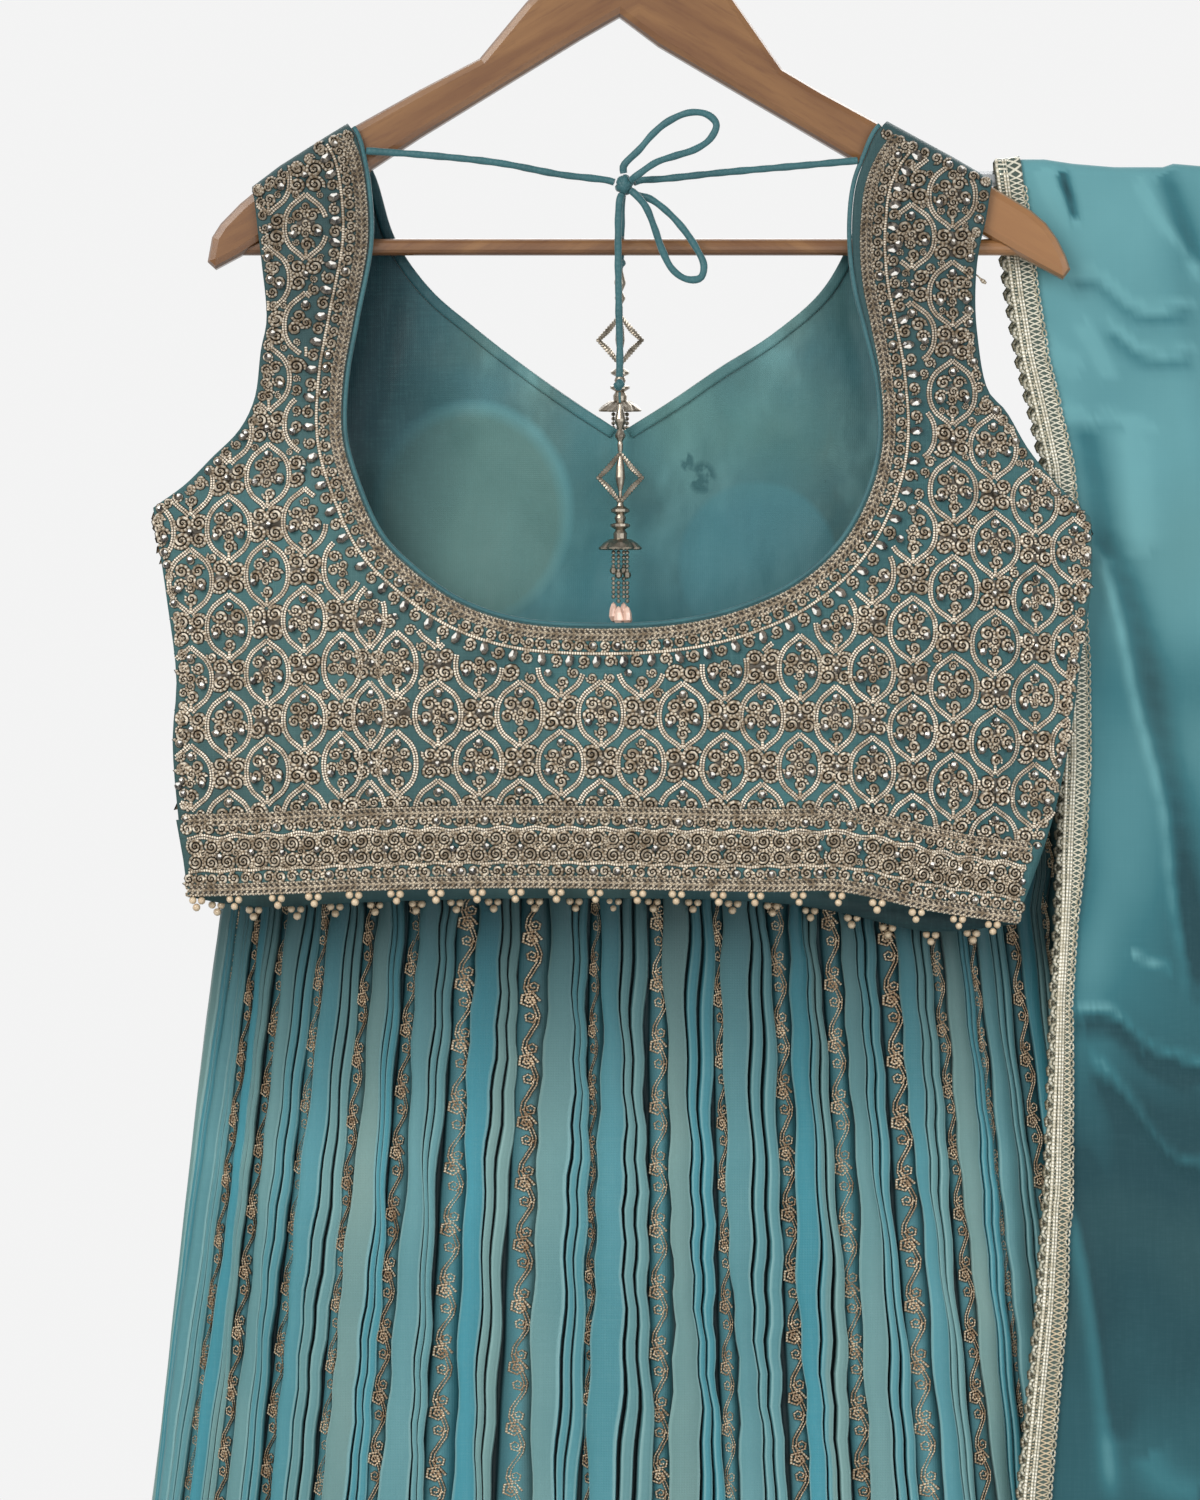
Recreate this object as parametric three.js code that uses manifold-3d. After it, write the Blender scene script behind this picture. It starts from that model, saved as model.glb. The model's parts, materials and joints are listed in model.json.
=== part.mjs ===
// A three-piece lehenga outfit on its hangers: a scooped blouse shown from the back, a pleated skirt
// behind it, and a scarf folded over a rod at the right. Units are millimetres. +X is the viewer's right,
// -Y faces the viewer and +Z is up. The origin is where a rail passes under the hook of the main hanger.
import * as THREE from 'three';
import { mergeVertices } from 'three/addons/utils/BufferGeometryUtils.js';
import Module from 'manifold-3d';

const wasm = await Module();
wasm.setup();

// Driving dimensions of the main hanger
const HANGER_THICK = 14;
const ARM_EDGE_ROUND = 4;
const NECK_TOP_Z = -72;
const BAR_X = 0;
const BAR_Z = -227.5;
const BAR_R = 4.3;
const BAR_REACH = 204;
const HOOK_R = 13;            // centre line of the hook's bend
const HOOK_WIRE = 1.8;
const GAP = 0.3;              // clearance where two pieces meet

// Driving dimensions of the cloth
const CLOTH = 1.2;            // wall of the blouse and its bands
const STRAP_Y = 10.2;         // how far a strap hangs from the middle plane of the hanger
const STRAP_RISE = 3.2;       // the strap's middle surface above the arm
const CURL = 6;               // drop over which a strap rolls off the arm
const SEAM_Y = 0.8;           // the two walls at the side seams
const BACK_SWELL = 22;        // deepest part of the back panel
const FRONT_SWELL = 14;
const SWELL_REACH = 80;       // distance from an edge to full depth
const BAND = 40;              // height of the blouse's hem band
const PIPING_R = 1.2;
const FACING = 5;

// Driving dimensions of the skirt
const WAIST_Z = -430;
const WAISTBAND = 32;
const HEM_Z = -1485;
const SKIRT_X = 3;
const PLEATS = 19;            // pleats on each of the two panels
const PLEAT_RISE = 3.2;
const SKIRT_WALL = 1.5;

// Driving dimensions of the scarf and its rod
const ROD_X = 328;
const ROD_Y = 19.4;
const ROD_Z = -190;
const ROD_R = 4;
const ROD_FROM = 174;
const ROD_TO = 484;
const ROD_RETURN_Z = -150;    // the part of the rod that runs back above the scarf to the hook
const SCARF_WALL = 2.4;
const SCARF_DROP = 1150;

const COLOURS = {
  cloth: 0x3f8f98, work: 0xa08f78, lining: 0x3c858c, skirt: 0x4b979f, scarf: 0x5da3ad,
  lace: 0xc9c0aa, wood: 0xa9714a, steel: 0xb8bcc0, metal: 0xb5aa98, dori: 0x3a8790,
};
const materials = {};
for (const [name, colour] of Object.entries(COLOURS)) {
  const metallic = name === 'steel' || name === 'metal';
  materials[name] = new THREE.MeshStandardMaterial({
    color: colour, roughness: metallic ? 0.3 : 0.75, metalness: metallic ? 0.9 : 0,
  });
}

const group = new THREE.Group();
function add(name, geometry, material) {
  const mesh = new THREE.Mesh(geometry, materials[material]);
  mesh.name = name;
  group.add(mesh);
  return mesh;
}

// Small tools
const lerp = (a, b, t) => a + (b - a) * t;
const clamp01 = (t) => Math.min(1, Math.max(0, t));
const smooth = (t) => clamp01(t) ** 2 * (3 - 2 * clamp01(t));
const hump = (d, reach) => Math.exp(-((d / reach) ** 2));
const vec = (x, y, z) => new THREE.Vector3(x, y, z);

// A value read from a table of rows [key, value], with a smooth passage between its rows.
function along(table, key) {
  if (key <= table[0][0]) return table[0][1];
  for (let i = 1; i < table.length; i++) {
    const [k0, v0] = table[i - 1];
    const [k1, v1] = table[i];
    if (key <= k1) return lerp(v0, v1, smooth((key - k0) / (k1 - k0)));
  }
  return table.at(-1)[1];
}

// The same with straight passages.
function straight(table, key) {
  if (key <= table[0][0]) return table[0][1];
  for (let i = 1; i < table.length; i++) {
    const [k0, v0] = table[i - 1];
    const [k1, v1] = table[i];
    if (key <= k1) return lerp(v0, v1, (key - k0) / (k1 - k0));
  }
  return table.at(-1)[1];
}

// A geometry from points and triangles, turned so that its faces point out.
function body(points, triangles) {
  let volume = 0;
  for (let i = 0; i < triangles.length; i += 3) {
    const [a, b, c] = [0, 1, 2].map((k) => points[triangles[i + k]]);
    volume += a.dot(b.clone().cross(c));
  }
  if (volume < 0) {
    for (let i = 0; i < triangles.length; i += 3) {
      [triangles[i + 1], triangles[i + 2]] = [triangles[i + 2], triangles[i + 1]];
    }
  }
  const geometry = new THREE.BufferGeometry().setFromPoints(points);
  geometry.setIndex(triangles);
  geometry.computeVertexNormals();
  return geometry;
}

// The unit normals of a grid of points, from each point's neighbours.
function gridNormals(rows, ring) {
  const last = rows[0].length - 1;
  return rows.map((row, i) => row.map((point, j) => {
    const up = rows[Math.max(i - 1, 0)][j];
    const down = rows[Math.min(i + 1, rows.length - 1)][j];
    const left = row[ring ? (j + last) % (last + 1) : Math.max(j - 1, 0)];
    const right = row[ring ? (j + 1) % (last + 1) : Math.min(j + 1, last)];
    return down.clone().sub(up).cross(right.clone().sub(left)).normalize();
  }));
}

// A closed wall of cloth round a grid of middle points. raise lifts its outer face, row by row.
function wall(rows, thick, { ring = false, raise = null } = {}) {
  const normals = gridNormals(rows, ring);
  const count = rows.length;
  const width = rows[0].length;
  const points = [];
  for (const side of [1, -1]) {
    rows.forEach((row, i) => row.forEach((point, j) => {
      const lift = side > 0 && raise ? raise[i][j] : 0;
      points.push(point.clone().addScaledVector(normals[i][j], side * thick / 2 + lift));
    }));
  }
  const at = (side, i, j) => side * count * width + i * width + (j % width);
  const triangles = [];
  const quad = (a, b, c, d) => triangles.push(a, b, c, a, c, d);
  const steps = ring ? width : width - 1;
  for (let i = 0; i < count - 1; i++) {
    for (let j = 0; j < steps; j++) {
      quad(at(0, i, j), at(0, i + 1, j), at(0, i + 1, j + 1), at(0, i, j + 1));
      quad(at(1, i, j), at(1, i, j + 1), at(1, i + 1, j + 1), at(1, i + 1, j));
    }
    if (!ring) {
      quad(at(0, i, 0), at(1, i, 0), at(1, i + 1, 0), at(0, i + 1, 0));
      quad(at(0, i, width - 1), at(0, i + 1, width - 1), at(1, i + 1, width - 1), at(1, i, width - 1));
    }
  }
  for (let j = 0; j < steps; j++) {
    quad(at(0, 0, j), at(0, 0, j + 1), at(1, 0, j + 1), at(1, 0, j));
    quad(at(0, count - 1, j), at(1, count - 1, j), at(1, count - 1, j + 1), at(0, count - 1, j + 1));
  }
  return body(points, triangles);
}

function circle(radius, sides) {
  const shape = new THREE.Shape();
  for (let i = 0; i < sides; i++) {
    const a = (i / sides) * Math.PI * 2;
    const [x, y] = [radius * Math.cos(a), radius * Math.sin(a)];
    if (i) shape.lineTo(x, y);
    else shape.moveTo(x, y);
  }
  shape.closePath();
  return shape;
}

function tube(points, radius, sides, steps) {
  const extrudePath = new THREE.CatmullRomCurve3(points, false, 'centripetal');
  return new THREE.ExtrudeGeometry(circle(radius, sides), { steps, extrudePath });
}

// Solids that are joined or cut
function toSolid(geometry) {
  const bare = geometry.clone();
  for (const name of ['normal', 'uv']) bare.deleteAttribute(name);
  const merged = mergeVertices(bare, 1e-4);
  return new wasm.Manifold(new wasm.Mesh({
    numProp: 3,
    vertProperties: new Float32Array(merged.attributes.position.array),
    triVerts: new Uint32Array(merged.index.array),
  }));
}
function toGeometry(solid) {
  const mesh = solid.getMesh();
  const geometry = new THREE.BufferGeometry();
  geometry.setAttribute('position', new THREE.BufferAttribute(mesh.vertProperties, 3));
  geometry.setIndex([...mesh.triVerts]);
  geometry.computeVertexNormals();
  return geometry;
}
const joined = (geometries) => toGeometry(geometries.map(toSolid).reduce((a, b) => a.add(b)));

// A turned piece: its profile runs downwards from the top, in rows of [radius, z].
function turned(profile, sides) {
  const geometry = new THREE.LatheGeometry(
    [...profile].reverse().map(([r, z]) => new THREE.Vector2(r, z)), sides);
  return geometry.rotateX(Math.PI / 2);
}

// The main hanger
const ARM_UPPER = [            // the upper edge of both arms, from the left tip: [x, z]
  [-222.3, -235.4], [-220, -222.7], [-215.5, -215.6], [-205.4, -205.3], [-199.7, -200.6], [-184.7, -189.2],
  [-161, -174.2], [-148, -166.3], [-113, -146.7], [-82, -130.5], [-58, -101.5], [-40, -83.5], [-20, -73],
  [0, NECK_TOP_Z], [20, -73], [37, -83.5], [50, -101.5], [74, -136], [93.4, -147.5], [125, -164.7],
  [162.5, -185.2], [187, -199.6], [194, -203.7], [202, -208.6], [210, -215.5], [215.7, -223.4], [220.2, -232.3],
];
const ARM_LOWER = [            // and back along the underside, from the right tip
  [222.5, -239.2], [218.8, -244.2], [198.5, -233.3], [111, -183.4], [10, -124], [-10, -109],
  [-30, -120.5], [-113, -171.4], [-205.3, -232.2], [-218.3, -239.1],
];
const armTop = (x) => straight(ARM_UPPER, x);

function hangerBody() {
  const round = ARM_EDGE_ROUND;
  const outline = new THREE.Shape([...ARM_UPPER, ...ARM_LOWER].map(([x, z]) => new THREE.Vector2(x, z)));
  const plank = new THREE.ExtrudeGeometry(outline, {
    depth: HANGER_THICK - 2 * round, bevelEnabled: true, bevelThickness: round,
    bevelSize: round, bevelOffset: -round, bevelSegments: 2,
  });
  plank.rotateX(Math.PI / 2).translate(0, HANGER_THICK / 2 - round, 0);
  const socket = new THREE.CylinderGeometry(BAR_R + GAP, BAR_R + GAP, 2 * (BAR_REACH + GAP), 16);
  socket.rotateZ(Math.PI / 2).translate(BAR_X, 0, BAR_Z);
  return toGeometry(toSolid(plank).subtract(toSolid(socket)));
}
add('hanger_body', hangerBody(), 'wood');

const bar = new THREE.CylinderGeometry(BAR_R, BAR_R, 2 * BAR_REACH, 16);
add('hanger_bar', bar.rotateZ(Math.PI / 2).translate(BAR_X, 0, BAR_Z), 'wood');

// The bend of a hook in the plane across its hanger, from the stem over the rail to the free end.
function hookBend(x, y, wire) {
  const turns = 8;
  return Array.from({ length: turns + 1 }, (_, i) => {
    const a = lerp(-0.4, 1.1, i / turns) * Math.PI;
    return vec(x, y + HOOK_R * Math.cos(a), wire - HOOK_R + HOOK_R * Math.sin(a));
  });
}
const hookPath = [
  vec(0, 0, NECK_TOP_Z + GAP), vec(0, 0, -55), vec(0, 0, -40), ...hookBend(0, 0, HOOK_WIRE),
];
add('hanger_hook', tube(hookPath, HOOK_WIRE, 8, 26), 'steel');

// The blouse. Outlines are rows of [x, z] as seen from the viewer's side.
const BACK_NECK = [
  [-150, -167], [-143.5, -180], [-139.8, -200], [-139, -226], [-146, -265], [-151.5, -297],
  [-152, -325], [-146, -348], [-133, -377], [-118, -393], [-93, -411], [-62, -421.5], [-12, -424.5],
  [26, -421.5], [55, -414], [82, -401], [104, -381], [118, -356], [124.5, -330], [123.5, -298],
  [117.5, -271], [112, -248], [109.5, -220], [112, -195], [119, -178], [128, -166],
];
const BACK_ARMHOLE_LEFT = [
  [-199, -200], [-196.5, -216], [-194, -236], [-191.5, -266], [-194.5, -281], [-198, -306],
  [-206, -322], [-220, -336], [-234, -350], [-250.5, -362],
];
const FRONT_ARMHOLE_LEFT = [
  [-199, -200], [-195, -216], [-188, -236], [-176, -266], [-171, -290], [-171, -305],
  [-175, -322], [-186, -339], [-206, -352], [-250.5, -362],
];
const BACK_ARMHOLE_RIGHT = [
  [182, -196], [179, -212], [174.5, -232], [173, -252], [174, -272], [180, -302],
  [189, -312], [201, -332], [216, -350], [233, -367],
];
const FRONT_ARMHOLE_RIGHT = [
  [182, -196], [177, -212], [168, -232], [159, -256], [154, -285], [155, -302],
  [159, -320], [172, -338], [196, -354], [233, -367],
];
const SIDE_LEFT = [[-250.5, -362], [-243.5, -409], [-238.5, -451], [-240.5, -482], [-237.5, -522], [-232.5, -563]];
const SIDE_RIGHT = [[233, -367], [234, -397], [228, -440], [222, -484], [212, -528], [194.5, -577]];
const BACK_HEM = [[-232.5, -563], [-200, -562], [-142, -559.5], [-60, -558], [66, -560], [103, -560], [150, -570], [194.5, -577]];
const FRONT_HEM = [[-232.5, -563], [-200, -568], [-142, -566], [-60, -564], [66, -566], [103, -571], [150, -581], [194.5, -577]];
const FRONT_NECK_LEFT = [
  [-150, -167], [-137, -188], [-126, -222], [-108, -248], [-85, -268], [-58, -289], [-33, -307], [-9, -323],
];
const FRONT_NECK_RIGHT = [
  [-9, -323], [16, -307], [42, -289], [70, -271], [94, -250], [108, -226], [119, -190], [128, -166],
];
const NECK_SHARE = [0, 0.253, 0.359, 0.648, 0.744, 1];   // along the neck, at each corner of the outline
const FRONT_SHARE = [0, 0.34, 0.42, 0.58, 0.66, 1];
const NEAR_SHOULDER = [0, 0.9, 2.4, 4.6, 7.5, 13, 22];    // drops below the shoulder seam

const flatCurve = (rows) => new THREE.CatmullRomCurve3(
  rows.map(([x, z]) => vec(x, 0, z)), false, 'centripetal');

// The outer edge of a panel at a height, from its two side outlines.
function edgeAt(rows, z) {
  for (let i = 1; i < rows.length; i++) {
    if (z >= rows[i][1]) {
      const t = (z - rows[i - 1][1]) / (rows[i][1] - rows[i - 1][1]);
      return lerp(rows[i - 1][0], rows[i][0], clamp01(t));
    }
  }
  return rows.at(-1)[0];
}

const EDGE_DEPTH = [[-362, SEAM_Y], [-235, STRAP_Y], [0, STRAP_Y]];
const BACK_DEPTH = [[-580, 17], [-430, BACK_SWELL], [-300, 15], [-225, STRAP_Y], [0, STRAP_Y]];
const FRONT_DEPTH = [[-580, FRONT_SWELL], [-300, 10], [-225, STRAP_Y], [0, STRAP_Y]];
const CUPS = [-86, 70];
const CUP_Z = -372;

// How far a strap has rolled off the arm towards its hanging depth, from 0 on top to 1.
function roll(x, z) {
  const drop = armTop(x) + STRAP_RISE - z;
  return drop >= CURL ? 1 : Math.sqrt(clamp01(1 - (1 - clamp01(drop / CURL)) ** 2));
}

function backDepth(x, z) {
  const left = edgeAt([...BACK_ARMHOLE_LEFT, ...SIDE_LEFT.slice(1)], z);
  const right = edgeAt([...BACK_ARMHOLE_RIGHT, ...SIDE_RIGHT.slice(1)], z);
  const inside = Math.max(0, Math.min(x - left, right - x));
  const swell = lerp(along(EDGE_DEPTH, z), along(BACK_DEPTH, z), smooth(inside / SWELL_REACH));
  return -Math.max(swell * roll(x, z), GAP);
}

function frontDepth(x, z) {
  const left = edgeAt([...FRONT_ARMHOLE_LEFT, ...SIDE_LEFT.slice(1)], z);
  const right = edgeAt([...FRONT_ARMHOLE_RIGHT, ...SIDE_RIGHT.slice(1)], z);
  const inside = Math.max(0, Math.min(x - left, right - x));
  const swell = lerp(along(EDGE_DEPTH, z), along(FRONT_DEPTH, z), smooth(inside / SWELL_REACH));
  const cups = CUPS.reduce((sum, at) => sum + 7 * hump(x - at, 48) * hump(z - CUP_Z, 46), 0);
  const dip = 11 * hump(x + 9, 42) * smooth((z + 392) / 55);
  const depth = (swell + cups - dip) * roll(x, z);
  return inside > 4 && z < -240 ? depth : Math.max(depth, GAP);
}

// Shares along a curve: its first distances, then even steps.
function stations(length, count, near) {
  const first = near.map((d) => d / length);
  const from = first.length ? first.at(-1) : 0;
  const rest = Array.from({ length: count }, (_, i) => lerp(from, 1, (i + 1) / count));
  return [...(first.length ? first : [0]), ...rest];
}

// A panel laid between its neckline and its outer edge, in columns from shoulder to shoulder.
function panelRows(neckRows, sections, shares, layers, depth) {
  const necks = neckRows.map(flatCurve);
  const neckAt = (share) => {
    if (necks.length === 1) return necks[0].getPointAt(clamp01(share));
    return share < 0.5 ? necks[0].getPointAt(clamp01(share * 2)) : necks[1].getPointAt(clamp01(share * 2 - 1));
  };
  const neckLength = necks.reduce((sum, curve) => sum + curve.getLength(), 0);
  const columns = [];
  sections.forEach(({ rows, count, start, end }, k) => {
    const curve = flatCurve(rows);
    const span = shares[k + 1] - shares[k];
    let shareList = stations(curve.getLength(), count, start ? NEAR_SHOULDER : []);
    let neckList = stations(neckLength * span, count, start ? NEAR_SHOULDER : []);
    if (end) {
      shareList = stations(curve.getLength(), count, NEAR_SHOULDER).map((s) => 1 - s).reverse();
      neckList = stations(neckLength * span, count, NEAR_SHOULDER).map((s) => 1 - s).reverse();
    }
    shareList.forEach((share, i) => {
      if (k && !i) return;
      const fromShoulder = start ? i : end ? shareList.length - 1 - i : NEAR_SHOULDER.length;
      const drop = NEAR_SHOULDER[fromShoulder] ?? Infinity;
      columns.push([neckAt(shares[k] + span * neckList[i]), curve.getPointAt(share), drop]);
    });
  });
  return columns.map(([inner, outer, drop]) => Array.from({ length: layers + 1 }, (_, j) => {
    const p = inner.clone().lerp(outer, j / layers);
    if (drop < Infinity) p.z = lerp(armTop(p.x) + STRAP_RISE - drop, p.z, smooth((drop - 6) / 16));
    p.y = depth(p.x, p.z);
    return p;
  }));
}

const sectionsOf = (armLeft, armRight, hem) => [
  { rows: armLeft, count: 7, start: true },
  { rows: SIDE_LEFT, count: 4 },
  { rows: hem, count: 13 },
  { rows: [...SIDE_RIGHT].reverse(), count: 4 },
  { rows: [...armRight].reverse(), count: 7, end: true },
];
const backRows = panelRows([BACK_NECK], sectionsOf(BACK_ARMHOLE_LEFT, BACK_ARMHOLE_RIGHT, BACK_HEM),
  NECK_SHARE, 6, backDepth);
const frontRows = panelRows([FRONT_NECK_LEFT, FRONT_NECK_RIGHT],
  sectionsOf(FRONT_ARMHOLE_LEFT, FRONT_ARMHOLE_RIGHT, FRONT_HEM), FRONT_SHARE, 6, frontDepth);
add('blouse_back', wall(backRows, CLOTH), 'work');
add('blouse_front', wall(frontRows, CLOTH), 'lining');

// The depth of a panel's own surface at a place, read from its grid.
function onPanel(rows, x, z) {
  let best = { miss: Infinity, y: 0 };
  const tryFace = (a, b, c) => {
    const area = (b.x - a.x) * (c.z - a.z) - (c.x - a.x) * (b.z - a.z);
    if (Math.abs(area) < 1e-6) return;
    const u = ((b.x - x) * (c.z - z) - (c.x - x) * (b.z - z)) / area;
    const v = ((c.x - x) * (a.z - z) - (a.x - x) * (c.z - z)) / area;
    const w = 1 - u - v;
    const miss = -Math.min(u, v, w);
    if (miss < best.miss) best = { miss, y: u * a.y + v * b.y + w * c.y };
  };
  for (let i = 0; i < rows.length - 1; i++) {
    for (let j = 0; j < rows[i].length - 1; j++) {
      tryFace(rows[i][j], rows[i + 1][j], rows[i + 1][j + 1]);
      tryFace(rows[i][j], rows[i + 1][j + 1], rows[i][j + 1]);
    }
  }
  return best.y;
}

// The sewn band along a hem: a strip between the hem and a line above it, moved out from the panel.
function hemBand(hem, panel, out) {
  const lower = flatCurve(hem.map(([x, z], i) => [x + (i ? 0 : 1), z + 1]));
  const last = hem.length - 1;
  const slant = { 0: -6, [last]: 14 };   // the side seams lean outwards above the hem
  const upper = flatCurve(hem.map(([x, z], i) => [x + (slant[i] ?? 0), z + BAND]));
  const count = 26;
  return Array.from({ length: count + 1 }, (_, i) => {
    const [low, high] = [lower, upper].map((curve) => curve.getPointAt(i / count));
    return [0, 0.35, 0.7, 1].map((t) => {
      const p = high.clone().lerp(low, t);
      return p.setY(onPanel(panel, p.x, p.z) + out);
    });
  });
}
const ON_CLOTH = CLOTH + GAP + 0.8;
add('blouse_back_band', wall(hemBand(BACK_HEM, backRows, -ON_CLOTH), CLOTH), 'work');
add('blouse_front_band', wall(hemBand(FRONT_HEM, frontRows, ON_CLOTH), CLOTH), 'work');

// The piping along the back's scooped neckline, beside the panel's own edge
function neckPiping() {
  const edge = backRows.slice(3, -3).map((row) => row[0]);
  const points = edge.flatMap((p, i) => {
    const next = edge[i + 1] ?? p;
    const ahead = next === p ? p.clone().sub(edge[i - 1]) : next.clone().sub(p);
    const inwards = vec(-ahead.z, 0, ahead.x).normalize().multiplyScalar(PIPING_R + GAP + 0.1);
    return [0.15, 0.85].map((t) => p.clone().lerp(next, t).add(inwards));
  });
  return tube(points.slice(0, -1), PIPING_R, 5, 60);
}
add('neck_piping', neckPiping(), 'cloth');

// The turned facing that is sewn down inside the front's neckline
function facing(rows) {
  const curve = flatCurve(rows);
  const towardsTip = rows[0][1] > rows.at(-1)[1];
  const count = 16;
  return Array.from({ length: count + 1 }, (_, i) => {
    const share = lerp(0.1, 0.985, i / count);
    const at = towardsTip ? share : 1 - share;
    const [p, t] = [curve.getPointAt(at), curve.getTangentAt(at)];
    const down = vec(t.z, 0, -t.x).normalize();
    if (down.z > 0) down.negate();
    return [0.8, FACING + 0.8].map((d) => {
      const q = p.clone().addScaledVector(down, d);
      return q.setY(onPanel(frontRows, q.x, q.z) - ON_CLOTH);
    });
  });
}
add('neck_facing_left', wall(facing(FRONT_NECK_LEFT), 1), 'lining');
add('neck_facing_right', wall(facing(FRONT_NECK_RIGHT), 1), 'lining');

// The neck cords, their bow, and the two tassels. Rows are [x, y, z].
const DORI_R = 1.8;
const KNOT = vec(-7.5, -13, -197);
const KNOT_R = vec(5, 5.2, 5.8);

// Where a cord leaves the knot in a given direction: its first point and the next one.
function fromKnot(x, y, z) {
  const out = vec(x, y, z).normalize();
  const reach = 1 / out.clone().divide(KNOT_R).length() + GAP + 0.1;
  return [reach, reach + 3.5].map((r) => out.clone().multiplyScalar(r).add(KNOT).toArray());
}
const DORI = {
  dori_left: [
    [-140.2, -10.6, -179], [-108, -12, -181.5], [-72, -13, -185.5], [-40, -13, -191.5],
    ...fromKnot(-0.95, 0.1, 0.3).reverse(),
  ],
  dori_right: [
    [112.4, -10.6, -184], [80, -11.5, -187], [42, -12, -190.4], [12, -12, -193.6],
    ...fromKnot(0.9, 0.32, 0.32).reverse(),
  ],
  dori_loop_upper: [
    ...fromKnot(-0.05, -0.15, 1), [0.5, -14.6, -178.5], [7, -15, -171], [15, -15.5, -164.5], [26, -16, -160],
    [35, -16, -161], [39.7, -16.4, -166], [36.6, -17, -173.5], [29, -18, -179], [18.6, -18.6, -182.5],
    [8.6, -19, -186], ...fromKnot(0.62, -0.68, 0.4).reverse(),
  ],
  dori_loop_lower: [
    ...fromKnot(0.62, -0.55, -0.56), [3.4, -18.6, -208.5], [7.8, -18.4, -219], [11.4, -18, -229.5],
    [17, -18, -240.5], [24.3, -18, -245.6], [31.5, -17.5, -245], [33.3, -16.5, -238.5], [29.4, -15, -229.5],
    [22.2, -13.6, -218.7], [13.6, -11.8, -209.5], [5.6, -10.6, -203.6], ...fromKnot(0.75, 0.4, -0.5).reverse(),
  ],
  dori_tail_front: [
    ...fromKnot(-0.25, -0.45, -0.86), [-10.6, -16, -215], [-10.6, -14.6, -240], [-10.2, -13, -266],
    [-9.8, -12.2, -282], [-10, -12, -295.3],
  ],
  dori_tail_back: [
    ...fromKnot(-0.15, 0.5, -0.85), [-9, -7.5, -214], [-9.1, -4.6, -221.6], [-9.2, 0, -220.6],
    [-9.3, 4.9, -222.6], [-9.4, 6.6, -228], [-9.5, 6.8, -236],
  ],
};
for (const [name, rows] of Object.entries(DORI)) {
  const steps = name.includes('loop') ? 26 : 14;
  add(name, tube(rows.map((row) => vec(...row)), DORI_R, 8, steps), 'dori');
}
const knot = new THREE.SphereGeometry(1, 12, 8).scale(...KNOT_R.toArray()).translate(...KNOT.toArray());
add('dori_knot', knot, 'dori');

const TASSEL_PROFILES = {
  head: [[0, 0], [1.3, -0.4], [1.4, -2.6], [2.9, -9], [1.2, -13], [2, -14], [2.7, -16.6], [1.6, -19.2], [1.2, -24.6], [0, -24.8]],
  drop: [[0, -26], [1, -27], [2.5, -38], [0.9, -45], [0, -51]],
  stack: [[0, -50], [1.6, -51], [4.8, -54.5], [4.8, -55.6], [2, -56.8], [3, -59], [2, -61], [5, -62], [5, -63.2],
    [2.6, -64.5], [3.4, -67], [11.5, -73.2], [11.5, -74.2], [3.4, -70], [0, -70]],
};
const STRAND_SPOTS = [[-4.6, 0.6], [-1.2, -1.8], [2.4, 1.4], [4.8, -1]];

function tasselFrame() {
  const [halfWide, halfTall, thick, middle] = [12.6, 14.2, 2.6, -38.2];
  const shape = new THREE.Shape();
  shape.moveTo(0, halfTall).lineTo(halfWide, 0).lineTo(0, -halfTall).lineTo(-halfWide, 0).closePath();
  const hole = new THREE.Path();
  hole.moveTo(0, halfTall - 4).lineTo(-halfWide + 3.8, 0).lineTo(0, -halfTall + 4).lineTo(halfWide - 3.8, 0);
  shape.holes.push(hole.closePath());
  const frame = new THREE.ExtrudeGeometry(shape, { depth: thick, bevelEnabled: false });
  return frame.rotateX(Math.PI / 2).translate(0, thick / 2, middle);
}

function tassel(x, y, z, lean) {
  const parts = Object.values(TASSEL_PROFILES).map((profile) => turned(profile, 8));
  parts.push(tasselFrame());
  STRAND_SPOTS.forEach(([sx, sy], i) => {
    const foot = -108 - 2 * (i % 2);
    const strand = new THREE.CylinderGeometry(0.8, 0.8, -69 - foot, 4);
    parts.push(strand.rotateX(Math.PI / 2).translate(sx * 0.75, sy, (foot - 69) / 2));
    const bead = turned([[0, 3], [2.1, 0], [0, -3]], 6);
    parts.push(bead.translate(sx * 0.75, sy, -86 - 2 * (i % 2)));
    const crystal = turned([[0, 5], [1.2, 4], [2.6, -2.5], [1.2, -5], [0, -5.4]], 6);
    parts.push(crystal.translate(sx * 0.75, sy, foot + 1));
  });
  return joined(parts).rotateX(lean).translate(x, y, z);
}
add('tassel_lower', tassel(-9.6, -12, -309, 0), 'metal');
add('tassel_upper', tassel(-9.6, 6.8, -236.6, 0.1), 'metal');

// A short loop of thread between the front cord's end knot and its tassel
const threadTop = -299.4;
add('dori_end_knot', new THREE.SphereGeometry(1, 10, 6).scale(2.8, 2.8, 3.4).translate(-10.2, -12, threadTop), 'dori');
const thread = new THREE.CylinderGeometry(0.7, 0.7, 5.4, 6);
add('tassel_thread', thread.rotateX(Math.PI / 2).translate(-9.8, -12, -305.8), 'dori');

// The skirt. Its half width, half depth and middle at each height.
const SKIRT_HALF = [[-1485, 335], [-874, 253], [-567, 212], [-430, 190]];
const SKIRT_DEEP = [[-1485, 62], [-874, 42], [-567, 26], [-430, 17]];
const SKIRT_BACK = [[-1485, 98], [-874, 72], [-567, 51], [-430, 46]];

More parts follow.
